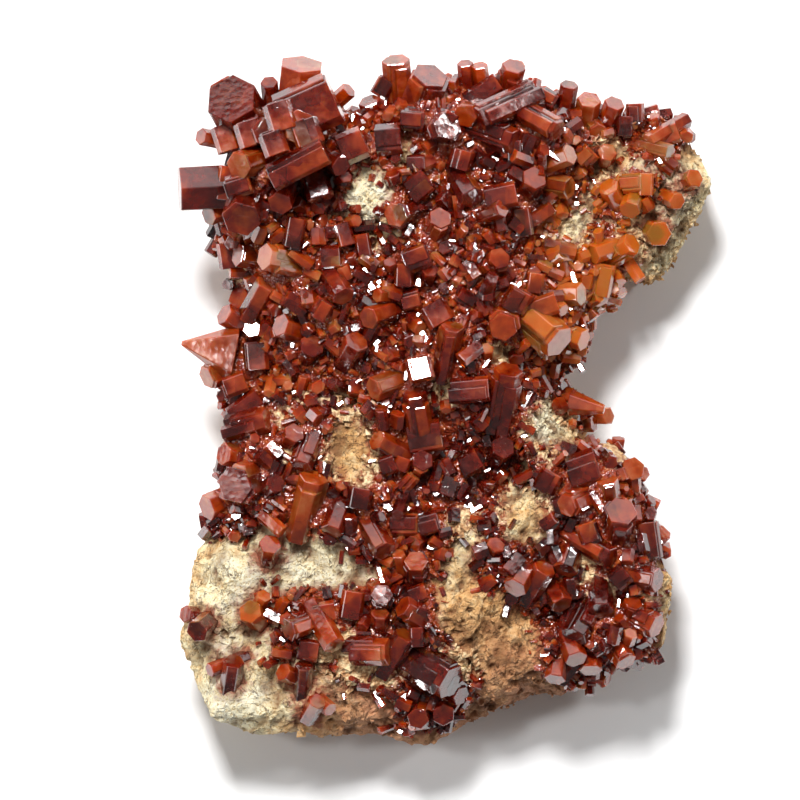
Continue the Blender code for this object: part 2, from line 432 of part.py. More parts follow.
def saw_base(mesh):
    """Cut the underside off flat and drop the stone onto it."""
    form = bmesh.new()
    form.from_mesh(mesh)
    everything = form.verts[:] + form.edges[:] + form.faces[:]
    cut = bmesh.ops.bisect_plane(form, geom=everything, plane_co=(0, 0, BASE_CUT * MM),
                                 plane_no=(0, 0, 1), clear_inner=True)
    rim = [part for part in cut["geom_cut"] if isinstance(part, bmesh.types.BMEdge)]
    bmesh.ops.contextual_create(form, geom=rim)
    bmesh.ops.translate(form, verts=form.verts, vec=(0, 0, -BASE_CUT * MM))
    bmesh.ops.recalc_face_normals(form, faces=form.faces)
    form.to_mesh(mesh)
    form.free()


def make_stone(folder):
    stone = outline_solid("matrix", STONE_OUTLINE, 0.0, STONE_TOP, folder)
    remesh = stone.modifiers.new("even_cells", "REMESH")
    remesh.mode = "VOXEL"
    remesh.voxel_size = STONE_VOXEL * MM
    apply_modifiers(stone)
    shape_stone(stone.data)
    thin_out(stone, STONE_FACES)
    saw_base(stone.data)
    stone.data.materials.clear()
    stone.data.materials.append(finish("matrix", "matrix"))
    return stone


def thin_out(item, faces):
    """Collapse a mesh to about the given number of triangles."""
    item.data.calc_loop_triangles()
    thin = item.modifiers.new("thin_out", "DECIMATE")
    thin.ratio = min(faces / len(item.data.loop_triangles), 1.0)
    return apply_modifiers(item)


def swollen(stone, name, growth, folder):
    """The stone with its skin moved outwards, used as a cutter."""
    copy = add_object(name, stone.data.copy(), folder)
    grow = copy.modifiers.new("grow", "DISPLACE")
    grow.mid_level = 0.0
    grow.strength = growth * MM
    return apply_modifiers(copy)


def combine(item, other, operation, self_cut=False):
    cut = item.modifiers.new("combine", "BOOLEAN")
    cut.operation = operation
    cut.solver = "EXACT"
    cut.use_self = self_cut
    cut.object = other
    return apply_modifiers(item)


def roughen(item, low, high):
    """Shift every vertex a little along its normal, so that flat facets show."""
    dice = random.Random(SEED)
    shifts = [vertex.normal * dice.uniform(low, high) * MM for vertex in item.data.vertices]
    for vertex, shift in zip(item.data.vertices, shifts):
        vertex.co += shift


class Ground:
    """Height of the rock under a place in plan."""

    def __init__(self, stone):
        form = bmesh.new()
        form.from_mesh(stone.data)
        self.tree = BVHTree.FromBMesh(form)
        form.free()

    def height(self, x, y):
        above = Vector((x, y, SKY)) * MM
        hit = self.tree.ray_cast(above, Vector((0, 0, -1)))[0]
        if hit is None:
            beside = Vector((x, y, STONE_TOP - RIM_DROP)) * MM
            hit = self.tree.find_nearest(beside)[0]
        return hit.z / MM


def axis_turn(crystal):
    """Rotation that lays +Z along the crystal's leaning axis."""
    lean = Matrix.Rotation(math.radians(crystal.tilt), 4, "Y")
    head = Matrix.Rotation(math.radians(crystal.heading), 4, "Z")
    roll = Matrix.Rotation(math.radians(crystal.roll), 4, "Z")
    return head @ lean @ roll


def hexagonal_prism(form, crystal, length, matrix):
    """A closed six-sided prism about the matrix's Z; its +X and -X faces are the broad ones."""
    half = crystal.across / 2
    flat = half * crystal.wide
    thick = (half - flat) * math.tan(PRISM_ANGLE)
    corners = ((thick, -flat), (thick, flat), (0, half), (-thick, flat), (-thick, -flat),
               (0, -half))
    rings = [[form.verts.new(matrix @ (Vector((x * share, y * share, z)) * MM))
              for x, y in corners]
             for share, z in ((1.0, -length / 2), (crystal.taper, length / 2))]
    foot, tip = rings
    form.faces.new(reversed(foot))
    form.faces.new(tip)
    for i in range(len(corners)):
        form.faces.new((foot[i - 1], foot[i], tip[i], tip[i - 1]))
    return foot + tip


def add_crystal(form, crystal, ground):
    """A six-sided prism whose foot runs down into the crust."""
    upright = math.cos(math.radians(crystal.tilt))
    foot = crystal.rise + CRYSTAL_SINK - crystal.length / 2 * upright
    root = max(foot, 0.0) / upright if crystal.tilt < ROOTED_BELOW else 0.0
    height = ground.height(crystal.x, crystal.y) + crystal.rise
    turn = axis_turn(crystal)
    centre = Vector((crystal.x, crystal.y, height)) * MM
    centre -= turn.to_3x3() @ Vector((0, 0, root / 2 * MM))
    verts = hexagonal_prism(form, crystal, crystal.length + root,
                            Matrix.Translation(centre) @ turn)
    if crystal.across >= BEVELLED_FROM and crystal.taper == 1.0:
        bevel_tip(form, verts, turn, crystal)


def bevel_tip(form, verts, turn, crystal):
    """Small pyramid faces round the free end of a large crystal."""
    along = turn.to_3x3() @ Vector((0, 0, 1))
    reach = max(vertex.co.dot(along) for vertex in verts)
    tip = [vertex for vertex in verts if reach - vertex.co.dot(along) < WELD]
    rim = {edge for vertex in tip for edge in vertex.link_edges
           if edge.other_vert(vertex) in tip}
    bmesh.ops.bevel(form, geom=list(rim), offset=crystal.across * BEVEL_SHARE * MM,
                    segments=1, affect="EDGES", profile=0.5)


def is_bare(x, y):
    return any(is_inside(x, y, patch) or to_segments(x, y, patch) < BARE_MARGIN
               for patch in BARE_PATCHES)


def small_crystals(edge, placed, number, dice):
    """Crystals that fill the widest gaps between the hand-placed ones."""
    found = []
    low = [min(point[i] for point in edge) for i in (0, 1)]
    high = [max(point[i] for point in edge) for i in (0, 1)]
    for _ in range(number):
        best_gap = 0.0
        spot = None
        for _ in range(GAP_TRIES):
            x = dice.uniform(low[0], high[0])
            y = dice.uniform(low[1], high[1])
            gap = min(math.hypot(x - other.x, y - other.y) - other.across / 2
                      for other in (*placed, *found))
            on_rock = is_inside(x, y, STONE_OUTLINE) and is_inside(x, y, edge)
            if gap > best_gap and on_rock and to_segments(x, y, edge) > EDGE_MARGIN:
                if not is_bare(x, y):
                    best_gap = gap
                    spot = (x, y)
        across = min(max(best_gap * GAP_FILL, SMALL_ACROSS[0]), SMALL_ACROSS[1])
        found.append(Crystal(*spot, across, across * SMALL_LENGTH, dice.uniform(0, 360),
                             dice.uniform(*SMALL_TILT), dice.uniform(*SMALL_RISE)))
    return found


def keep_largest(item):
    """Drop chips that the cutting left loose, so that one closed body stays."""
    form = bmesh.new()
    form.from_mesh(item.data)
    bmesh.ops.remove_doubles(form, verts=form.verts, dist=WELD)
    unseen = set(form.verts)
    bodies = []
    while unseen:
        group = {unseen.pop()}
        front = list(group)
        while front:
            vertex = front.pop()
            for edge in vertex.link_edges:
                other = edge.other_vert(vertex)
                if other in unseen:
                    unseen.discard(other)
                    group.add(other)
                    front.append(other)
        bodies.append(group)
    bodies.sort(key=len)
    loose = [vertex for group in bodies[:-1] for vertex in group]
    bmesh.ops.delete(form, geom=loose, context="VERTS")
    bmesh.ops.dissolve_degenerate(form, edges=form.edges, dist=WELD)
    form.to_mesh(item.data)
    form.free()


def crystal_mesh(name, crystals, ground):
    form = bmesh.new()
    for crystal in crystals:
        add_crystal(form, crystal, ground)
    mesh = bpy.data.meshes.new(name)
    form.to_mesh(mesh)
    form.free()
    return mesh


def dress(item, name):
    kind = "orange_crystal" if name in ORANGE_NODES else "crystal"
    item.data.materials.clear()
    item.data.materials.append(finish(name, kind))


def fray_foot(patch, dice):
    """Raise the lower corners of a patch unevenly, so that its edge runs ragged."""
    middle = (CRUST_LOW + CRUST_HIGH) / 2 * MM
    for vertex in patch.data.vertices:
        if vertex.co.z < middle:
            vertex.co.z += dice.uniform(0.0, CRUST_RAGGED) * MM


def make_crust(name, edge, crystals, skin, bed, ground, parts, cutters):
    """Drusy layer inside its edge, with its crystals, clear of the rock."""
    crust = add_object(name, skin.data.copy(), parts)
    patch = outline_solid(name + "_patch", edge, CRUST_LOW, CRUST_HIGH, cutters)
    fray_foot(patch, random.Random(name))
    combine(crust, patch, "INTERSECT")
    bpy.data.objects.remove(patch, do_unlink=True)
    for i, bare in enumerate(BARE_PATCHES):
        window = outline_solid(f"{name}_bare_{i}", bare, CRUST_LOW, CRUST_HIGH, cutters)
        combine(crust, window, "DIFFERENCE")
        bpy.data.objects.remove(window, do_unlink=True)
    grown = add_object(name + "_crystals", crystal_mesh(name, crystals, ground), cutters)
    combine(crust, grown, "UNION", self_cut=True)
    combine(crust, bed, "DIFFERENCE")
    bpy.data.objects.remove(grown, do_unlink=True)
    keep_largest(crust)
    dress(crust, name)
    return crust


def make_single(name, crystals, bed, ground, parts):
    item = add_object(name, crystal_mesh(name, crystals, ground), parts)
    combine(item, bed, "DIFFERENCE", self_cut=True)
    keep_largest(item)
    dress(item, name)
    return item


def main():
    clear_scene()
    parts = new_collection(OBJECT_NAME)
    cutters = new_collection("cutters")
    dice = random.Random(SEED)
    noise.seed_set(SEED)
    stone = make_stone(parts)
    ground = Ground(stone)
    bed = swollen(stone, "bed", CLEARANCE, cutters)
    skin = thin_out(swollen(stone, "skin", CRUST_THICKNESS, cutters), SKIN_FACES)
    roughen(skin, *SKIN_JITTER)
    for name, edge, placed, number in CRUSTS:
        small = small_crystals(edge, placed, number, dice)
        make_crust(name, edge, (*placed, *small), skin, bed, ground, parts, cutters)
    for name, crystals in SINGLES.items():
        make_single(name, crystals, bed, ground, parts)
    for guide in (bed, skin):
        bpy.data.objects.remove(guide, do_unlink=True)


main()
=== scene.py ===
"""Vanadinite on matrix: red hexagonal crystals grown over a broken piece of host rock.

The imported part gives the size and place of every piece. The rock is reworked into a fine
broken surface, each crust gets its drusy bed and several generations of crystals, and the
stage holds the floor, the lights and the camera. Sizes are in millimetres unless a name or
a unit says otherwise; +X is right, +Y the top of the specimen and +Z up.
"""
import json
import math
import random
from typing import NamedTuple

import bmesh
import bpy
import numpy as np
from mathutils import Matrix, Vector, noise
from mathutils.bvhtree import BVHTree

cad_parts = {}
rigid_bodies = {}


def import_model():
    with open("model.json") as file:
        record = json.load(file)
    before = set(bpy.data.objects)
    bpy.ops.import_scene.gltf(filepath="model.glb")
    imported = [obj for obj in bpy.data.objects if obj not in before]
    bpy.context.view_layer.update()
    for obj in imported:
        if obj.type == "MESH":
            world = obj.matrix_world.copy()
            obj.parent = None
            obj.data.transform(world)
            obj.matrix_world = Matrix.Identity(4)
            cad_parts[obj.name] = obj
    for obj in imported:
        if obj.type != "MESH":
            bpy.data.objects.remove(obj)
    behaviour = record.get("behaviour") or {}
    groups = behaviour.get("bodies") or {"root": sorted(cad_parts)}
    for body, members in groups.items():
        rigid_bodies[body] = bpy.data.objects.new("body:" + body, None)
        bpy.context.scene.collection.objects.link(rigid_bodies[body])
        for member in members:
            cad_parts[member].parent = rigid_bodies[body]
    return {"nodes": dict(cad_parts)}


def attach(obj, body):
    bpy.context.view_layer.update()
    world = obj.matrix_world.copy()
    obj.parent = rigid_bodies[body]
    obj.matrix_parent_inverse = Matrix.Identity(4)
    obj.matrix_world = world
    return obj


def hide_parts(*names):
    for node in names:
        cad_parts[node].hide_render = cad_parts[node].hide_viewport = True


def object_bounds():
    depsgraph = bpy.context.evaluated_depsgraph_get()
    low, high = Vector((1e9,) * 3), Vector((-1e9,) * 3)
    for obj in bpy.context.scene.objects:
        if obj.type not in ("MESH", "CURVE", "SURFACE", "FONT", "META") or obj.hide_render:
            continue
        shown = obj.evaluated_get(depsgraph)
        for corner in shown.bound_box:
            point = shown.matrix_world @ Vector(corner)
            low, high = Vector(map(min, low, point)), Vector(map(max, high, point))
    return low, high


bl_info = {
    "name": "Vanadinite on Matrix",
    "version": (1, 0, 0),
    "blender": (4, 5, 0),
    "location": "3D View > Sidebar > Vanadinite",
    "description": "Rock, drusy crusts and crystals of a vanadinite specimen",
    "category": "Add Mesh",
}

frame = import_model()
CAD_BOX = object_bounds()

MM = 0.001
CRYSTAL_SINK = 0.9          # depth to which a crystal's foot goes below the rock's face
ROOTED_BELOW = 65.0         # lean in degrees up to which a crystal has a foot in the rock
TWINNED_FROM = 1.9          # width from which a crystal has a thinner one on its side
BUNDLED_FROM = 2.7          # width from which it is a bundle of thinner ones
BROAD = 0.68                # share of its width that a lying crystal's upper face takes
PRISM_ANGLE = math.radians(60)
SKY = 60.0                  # height from which the rock is looked for
CHIP_FLOOR = 3.0            # lowest place of a chip on the rock's sides
STRAY_UPRIGHT = 0.45        # least upward part of the rock's normal under a stray crystal
BARE_THINNING = 0.85        # how far fewer crystals grow where the rock shows through
FLAT_BELOW = 0.3            # rock lower than this lies on the flat underside
RUST_REACH = 1.8            # how far the crystals' red-brown stain reaches over the rock
BED_FRINGE = 1.8            # how far past a crust its smallest crystals stray over the rock
BED_SEARCH = 2.2            # how far over the rock the crust's solid is looked for
BED_START = 0.5             # depth from which that search starts
BOX_ROOM = 1.2              # room left between grown crystals' feet and the outer box
FRINGE_SHARE = 0.15         # how thickly the stray crystals stand there
ROOT_CLEARANCE = 0.55       # share of a placed crystal's width kept free round its axis
BED_LUMP = 1.3              # width of the bed's lumps
BED_LUMP_RISE = 0.35        # their height
BED_DEPTH = 0.8             # depth to which the bed's shell goes into the rock
LUMP_WIDTH = 3.0            # of the rock's large lumps
CHIP_WIDTH = 2.1            # of the rock's broken chips
FINE_CHIP_WIDTH = 0.95      # of the smaller chips on them
GRAIN_WIDTH = 0.5           # of the rock's grains
PIT_WIDTH = 0.85            # of its pits
FADE_HEIGHT = 1.2           # height at which the rock's relief is full, from none at the foot
ROCK_MIDDLE = 11.8          # height from which the nearest rock is looked for beside its edge
WELD = 0.002                # distance at which a copy's loose corners are merged
BEVEL_SHARE = 0.03          # bevel of a placed crystal as a share of its width
WIDEST_BEVEL = 0.07
BUNDLE = (3, (0.5, 0.72), -1.4)         # crystals round a bundle's middle one, their share
SIDE_GROWTH = (1, (0.62, 0.78), -0.30)  # of its width, and how far back the lowest ends
BUNDLE_CORE = 0.84          # width of the middle one as a share of the whole
GROWTH_REACH = 1.06         # how far outer growths reach, as a share of the whole
GROWTH_DEPTH = 1.6          # how far they spread in depth for a broad crystal
SEED_REACH = (0.34, 0.47)   # from a small crystal's axis to its faces
SEED_FOOT = -0.5            # lowest end of a small crystal 1 mm across
SEED_SUNK = 0.45            # part of its length that is below its place
TIP_EDGE = 0.05             # height of its bevelled tip
TIP_SHARE = 0.86            # width of the tip as a share of the whole
TWIN_SHARE = 0.72           # width of a crystal grown beside another small one
GROWTH_LIFT = 0.22          # how far a grown crystal stands off the bed, by its size
DENSEST = 4.0e6             # points per square metre that the growth tries
CHIP_SIZES = (0.25, 0.95)
SMALL_SIZES = (0.3, 0.85)
MEDIUM_SIZES = (0.8, 1.8)
CHIP_KINDS = 6
CHIP_POINTS = 9
LENS_LEVEL = 0.015          # height in metres at which the camera sees the given width
MARKS = ("depth", "warmth", "along")    # of a crystal's corners: tone, orange heat or below zero painted shade, foot to tip (painted shade to painted glow)
SEED = 7
OWN_TONES = (0.15, 0.8)     # from bright to dark, of the listed crystals
MEDIUM_LENGTHS = (0.7, 0.8, 0.9, 1.0, 1.0, 1.1, 1.2, 1.4, 1.7)  # of crystals 1 mm across
SMALL_LENGTHS = (0.8, 1.0, 1.2, 1.4, 1.7, 2.1)
# Directions that a glinting face looks in: half-way from straight up to the key light
GLINT_LOW = (-0.13, 0.22, 0.95)
GLINT_HIGH = (-0.01, 0.34, 0.95)
FINISHES = {}


class Crystal(NamedTuple):
    """One hexagonal prism: its middle in plan, its size and how its axis leans."""
    x: float
    y: float
    across: float           # corner to corner
    length: float
    heading: float = 0.0    # way the axis leans in plan, degrees from +X
    tilt: float = 20.0      # lean of the axis from upright
    rise: float = 0.9       # height of its middle above the rock
    roll: float = 0.0       # turn about its own axis
    taper: float = 1.0      # width of the free end as a share of the foot's
    wide: float = 0.5       # share of the width that one pair of faces takes


def lying(x, y, width, length, heading, rise=1.4, tilt=84.0):
    """A crystal on its side, its broad upper face of the given width."""
    return Crystal(x, y, width / BROAD, length, heading, tilt, rise, wide=BROAD)


UPPER_LEFT = (
    Crystal(-20.9, 29.3, 5.4, 3.6, 120, 28, 4.4), Crystal(-14.5, 31.6, 4.6, 4.2, 84, 66, 4.8, 30),
    lying(-13.5, 28.9, 3.6, 5.6, 24, 5.4), lying(-16.4, 28.1, 2.0, 2.9, 287, 6.0),
    lying(-19.4, 26.5, 2.0, 2.6, 287, 5.5), lying(-21.9, 26.1, 1.7, 2.7, 288, 4.4),
    lying(-17.0, 25.4, 1.8, 2.3, 290, 5.2), lying(-13.7, 26.5, 2.0, 2.6, 290, 4.4),
    lying(-14.6, 23.4, 2.0, 6.1, 27, 4.6), lying(-9.2, 25.3, 2.3, 2.6, 23, 2.8),
    Crystal(-19.7, 23.6, 3.0, 3.0, 200, 40, 3.8), Crystal(-24.1, 21.2, 5.0, 5.0, 183, 84, 3.2, 30),
    Crystal(-20.1, 18.8, 4.0, 3.2, 255, 32, 3.6), lying(-20.5, 21.4, 1.7, 2.4, 18, 4.6),
    lying(-22.0, 21.7, 1.1, 3.4, 82, 4.6), Crystal(-10.3, 30.4, 1.8, 2.2, 40, 60, 2.6),
    Crystal(-17.5, 31.0, 1.8, 2.2, 95, 42, 3.8), Crystal(-21.5, 31.0, 2.0, 2.2, 115, 55, 3.0),
    lying(-12.7, 21.2, 1.9, 2.6, 285, 2.6, 70), Crystal(-23.6, 26.2, 1.8, 2.2, 170, 50, 2.6),
    Crystal(-16.2, 20.2, 2.6, 2.6, 250, 35, 2.6), Crystal(-22.8, 18.8, 2.2, 2.4, 200, 50, 2.0),
    Crystal(-11.0, 23.6, 2.2, 2.4, 330, 40, 2.2), Crystal(-14.9, 27.0, 3.6, 2.8, 10, 20, 3.4),
    Crystal(-15.2, 23.4, 2.8, 2.6, 20, 10, 2.8), Crystal(-18.0, 26.6, 3.0, 2.8, 20, 10, 3.6),
)
MAIN = (
    Crystal(-4.7, 32.6, 3.2, 3.4, 95, 62, 2.4), Crystal(-2.0, 31.1, 4.5, 3.8, 68, 50, 3.2, 30),
    lying(-6.1, 31.4, 1.3, 1.8, 60, 1.8), Crystal(-7.2, 28.9, 2.4, 2.6, 110, 60, 1.8),
    lying(-5.6, 26.0, 2.2, 2.6, 5, 1.8), lying(-3.1, 27.9, 1.6, 2.1, 355, 1.7),
    Crystal(-0.2, 27.1, 3.5, 3.0, 20, 18, 1.8), lying(0.4, 28.0, 1.1, 1.4, 60, 3.3),
    lying(3.8, 30.8, 1.5, 3.8, 33, 2.2), Crystal(6.1, 29.2, 3.2, 6.6, 205, 66, 2.8, 0, 1.0, 0.62),
    Crystal(6.6, 32.3, 3.0, 3.0, 75, 52, 2.2), Crystal(3.6, 32.6, 1.7, 2.2, 100, 60, 1.8),
    Crystal(2.1, 32.9, 1.7, 2.0, 95, 60, 1.6), lying(10.4, 30.2, 1.3, 1.7, 330, 1.7),
    Crystal(12.3, 30.6, 1.9, 2.4, 80, 60, 1.6), Crystal(14.3, 29.2, 2.5, 2.6, 80, 45, 1.4),
    Crystal(16.7, 28.9, 2.2, 2.4, 70, 50, 1.4), lying(19.1, 28.8, 1.3, 1.9, 92, 1.3),
    lying(18.1, 27.5, 1.3, 2.0, 86, 1.4), Crystal(15.0, 27.4, 1.9, 2.0, 300, 40, 1.4),
    Crystal(10.2, 27.4, 2.8, 2.8, 330, 60, 1.6), Crystal(2.6, 28.6, 2.6, 2.6, 200, 30, 1.4),
    Crystal(5.8, 26.2, 3.2, 3.0, 340, 60, 1.4), lying(6.9, 24.9, 1.2, 2.0, 92, 1.5),
    lying(1.6, 24.0, 1.7, 2.0, 75, 1.5), lying(-2.9, 23.6, 1.2, 1.8, 2, 1.4),
    lying(-2.6, 21.5, 1.9, 2.3, 40, 1.5), lying(14.2, 24.4, 1.4, 1.6, 45, 1.4),
    Crystal(4.9, 18.8, 1.9, 2.2, 20, 50, 1.5), lying(5.6, 20.3, 1.8, 3.2, 12, 1.5),
    lying(7.8, 17.8, 1.3, 2.8, 98, 1.5), Crystal(8.6, 21.6, 2.6, 2.6, 60, 30, 1.4),
    Crystal(11.4, 21.4, 2.4, 2.6, 350, 60, 1.3), Crystal(11.6, 24.2, 2.2, 2.4, 20, 55, 1.3),
    Crystal(-4.4, 18.6, 3.1, 2.8, 200, 25, 1.3), Crystal(-0.8, 17.6, 2.9, 2.6, 60, 30, 1.4),
    lying(-15.0, 16.7, 1.4, 3.0, 80, 1.5), lying(-10.0, 16.5, 1.2, 2.3, 285, 1.4),
    lying(-8.2, 15.5, 1.1, 2.2, 100, 1.4), Crystal(-16.8, 14.1, 3.4, 3.0, 170, 55, 1.3),
    lying(-11.4, 14.3, 1.6, 1.9, 5, 1.4), Crystal(-19.6, 14.3, 2.4, 2.8, 170, 60, 1.2),
    lying(-2.7, 14.2, 1.8, 2.4, 20, 1.5), lying(-4.1, 12.5, 1.4, 2.3, 88, 1.4),
    lying(-3.3, 10.0, 1.5, 1.8, 15, 1.4), lying(-0.8, 8.6, 2.0, 2.3, 300, 1.5),
    Crystal(5.0, 13.7, 2.8, 2.6, 45, 30, 1.5), lying(7.2, 10.0, 1.9, 2.2, 60, 1.5),
    Crystal(5.9, 7.7, 3.6, 3.0, 250, 18, 1.8), lying(4.3, 10.8, 1.0, 1.8, 85, 1.4),
    lying(9.0, 11.7, 1.2, 2.0, 82, 1.4), lying(9.8, 9.3, 1.6, 3.0, 20, 1.4),
    Crystal(10.0, 6.9, 4.4, 4.2, 320, 60, 1.4), Crystal(12.7, 6.4, 2.8, 3.0, 340, 60, 1.0),
    Crystal(-7.0, 8.4, 2.4, 2.2, 200, 40, 1.4), Crystal(0.5, 6.3, 2.8, 2.4, 80, 60, 1.3),
    lying(-2.4, 3.0, 1.7, 2.2, 284, 1.5, 74), Crystal(-13.5, 5.1, 2.6, 2.2, 60, 24, 1.4),
    lying(-18.9, 4.3, 1.7, 2.7, 275, 1.4), Crystal(-19.3, 6.9, 1.9, 1.8, 103, 17, 1.7),
    Crystal(-15.6, 7.2, 2.5, 2.4, 160, 50, 1.3), lying(-12.2, 9.1, 1.6, 1.9, 60, 1.4),
    Crystal(-10.5, 11.0, 2.4, 2.2, 300, 50, 1.3),
    Crystal(-23.8, 5.2, 6.0, 5.4, 169, 84, 1.1, 0, 0.08, 0.66),
    Crystal(-22.8, 2.8, 3.0, 3.0, 205, 60, 1.0), Crystal(-21.2, 8.1, 2.4, 2.6, 150, 60, 1.2),
    Crystal(-20.0, 10.0, 2.6, 2.6, 160, 40, 1.3), lying(-21.8, 14.5, 1.4, 2.6, 98, 1.2),
    lying(-21.0, 1.6, 1.5, 2.2, 20, 1.3), lying(-20.0, -0.7, 1.5, 3.6, 36, 1.4),
    Crystal(-19.4, -2.4, 3.2, 3.6, 15, 70, 1.3), Crystal(-21.2, -5.6, 2.7, 2.8, 170, 45, 1.3),
    Crystal(-20.2, -8.2, 4.7, 3.6, 200, 30, 1.5), Crystal(-22.7, -10.4, 3.4, 3.1, 200, 58, 1.0),
    Crystal(-17.3, -8.6, 2.1, 2.0, 40, 30, 1.3), Crystal(-13.5, -9.1, 3.6, 3.4, 75, 60, 1.3),
    Crystal(-15.3, -3.7, 2.2, 2.0, 60, 30, 1.2), Crystal(-14.0, -5.6, 2.8, 2.6, 250, 60, 1.0),
    lying(-8.5, -9.8, 1.7, 2.1, 80, 1.3), lying(-5.7, -6.5, 1.4, 1.6, 20, 1.4),
    lying(-4.3, -6.4, 1.2, 1.4, 70, 1.4), Crystal(-2.4, -6.3, 2.7, 2.2, 60, 18, 1.7),
    lying(-2.0, -3.6, 2.2, 3.4, 10, 1.4), Crystal(-6.0, -4.4, 2.3, 2.4, 150, 55, 1.2),
    lying(0.4, -8.8, 1.3, 1.7, 250, 1.4), lying(-4.0, -12.5, 1.6, 2.6, 0, 1.3),
    lying(-1.5, -12.3, 1.6, 1.9, 15, 1.3), Crystal(-2.9, -0.5, 3.0, 2.8, 100, 60, 1.2),
    lying(2.5, 1.0, 1.8, 3.8, 5, 1.4), Crystal(6.1, 1.6, 3.6, 3.4, 80, 60, 1.4),
    Crystal(-2.9, -16.6, 2.9, 2.2, 90, 28, 1.2), lying(2.6, -6.3, 1.6, 2.0, 30, 2.2),
    Crystal(5.6, -5.1, 2.5, 2.2, 60, 25, 1.9), Crystal(-6.6, -14.2, 2.6, 2.6, 300, 55, 1.2),
    Crystal(-18.2, 10.8, 2.6, 2.6, 60, 55, 1.2), Crystal(12.6, 10.6, 2.4, 2.4, 0, 60, 1.2),
    Crystal(2.2, 20.9, 2.6, 2.4, 300, 50, 1.4), Crystal(-9.2, 5.2, 2.6, 2.4, 60, 40, 1.3),
    Crystal(-6.2, 1.4, 2.6, 2.4, 200, 60, 1.2), Crystal(-11.0, -12.2, 2.4, 2.4, 250, 60, 1.0),
)
LOWER_RIGHT = (
    lying(13.9, -6.8, 2.4, 3.0, 20, 1.4), lying(10.3, -8.1, 1.7, 2.1, 60, 1.4),
    Crystal(18.6, -7.2, 2.5, 2.4, 50, 22, 1.3), Crystal(17.4, -12.0, 4.0, 3.4, 80, 34, 1.4),
    lying(20.4, -14.0, 1.6, 3.6, 98, 1.3), lying(14.3, -13.2, 1.5, 2.0, 110, 1.4),
    Crystal(9.5, -17.6, 2.4, 2.4, 60, 55, 1.2), lying(17.5, -17.7, 1.6, 1.8, 40, 1.4),
    Crystal(18.6, -20.9, 2.0, 2.0, 70, 45, 1.2), Crystal(19.8, -22.0, 3.2, 3.6, 335, 60, 1.0),
    Crystal(17.4, -25.0, 2.8, 3.4, 300, 60, 1.0), Crystal(12.8, -25.0, 2.4, 2.6, 290, 50, 1.2),
    Crystal(13.6, -22.6, 3.2, 3.2, 240, 55, 1.6), Crystal(7.4, -18.0, 2.6, 2.4, 240, 50, 1.2),
    Crystal(16.4, -9.0, 2.2, 2.4, 100, 60, 1.2), Crystal(13.0, -10.2, 3.0, 2.8, 200, 45, 1.2),
    Crystal(15.6, -15.2, 2.8, 2.6, 330, 60, 1.2), Crystal(12.4, -16.0, 2.6, 2.6, 250, 60, 1.2),
    Crystal(20.0, -17.8, 2.6, 3.0, 350, 60, 1.2), Crystal(15.6, -20.0, 2.6, 2.8, 270, 50, 1.4),
    Crystal(14.6, -26.0, 2.4, 2.6, 270, 60, 0.9), Crystal(11.2, -19.6, 2.4, 2.6, 300, 55, 1.6),
    Crystal(11.2, -27.0, 2.2, 2.4, 260, 60, 0.9),
)
LOWER_MIDDLE = (
    Crystal(-6.3, -19.8, 2.7, 2.2, 90, 22, 1.5), lying(-2.7, -19.4, 1.3, 1.8, 20, 1.3),
    lying(-9.3, -20.5, 1.7, 2.8, 80, 1.4), Crystal(-6.5, -22.0, 1.9, 2.2, 90, 40, 1.3),
    lying(-2.8, -23.7, 1.1, 2.0, 92, 1.4), Crystal(-7.2, -25.2, 3.4, 3.4, 0, 70, 1.2),
    Crystal(-0.8, -27.4, 4.6, 3.8, 330, 60, 1.6), Crystal(-2.6, -31.6, 2.3, 2.2, 255, 22, 1.2),
    Crystal(-0.3, -31.3, 2.4, 2.2, 300, 20, 1.2), Crystal(-14.6, -22.6, 3.0, 2.8, 200, 60, 1.2),
    lying(-12.0, -21.3, 1.6, 2.2, 10, 1.3), lying(-13.6, -25.0, 1.5, 2.0, 350, 1.2),
    Crystal(-11.6, -23.6, 2.4, 2.6, 300, 60, 1.2), Crystal(-3.2, -21.2, 2.8, 2.8, 150, 60, 1.2),
    Crystal(-4.4, -24.4, 2.4, 2.4, 60, 60, 1.2), Crystal(0.8, -29.2, 2.2, 2.6, 330, 50, 1.0),
)
ORANGE = (
    Crystal(17.9, 15.2, 2.8, 2.6, 30, 50, 1.2), Crystal(15.6, 14.9, 2.2, 2.2, 200, 55, 1.2),
    lying(15.7, 12.2, 1.7, 3.0, 80, 1.2), Crystal(15.2, 10.8, 2.0, 2.4, 300, 55, 0.9),
)
SHOULDER = (
    lying(18.7, 21.7, 1.4, 1.9, 4, 1.4), lying(20.1, 21.6, 1.1, 2.2, 88, 1.4),
    Crystal(16.8, 20.6, 2.2, 2.6, 120, 42, 1.3), Crystal(18.7, 19.7, 2.2, 2.4, 250, 40, 1.3),
)
RIM = (
    lying(22.5, 26.7, 1.6, 2.0, 20, 1.4), Crystal(21.2, 26.4, 1.7, 2.2, 210, 60, 1.2),
    Crystal(21.6, 25.0, 1.9, 2.4, 345, 60, 1.2),
)
SPUR = (
    Crystal(12.6, 0.2, 1.7, 2.0, 120, 35, 1.0),
    Crystal(14.3, -0.6, 2.8, 3.6, -12, 78, 1.1, 0, 0.35),
)
CRUSTS = (
    ("upper_left_cluster", UPPER_LEFT), ("main_crust", MAIN), ("lower_right_crust", LOWER_RIGHT),
    ("lower_middle_crust", LOWER_MIDDLE), ("orange_crust", ORANGE), ("shoulder_crust", SHOULDER),
    ("rim_crust", RIM), ("right_spur", SPUR),
)
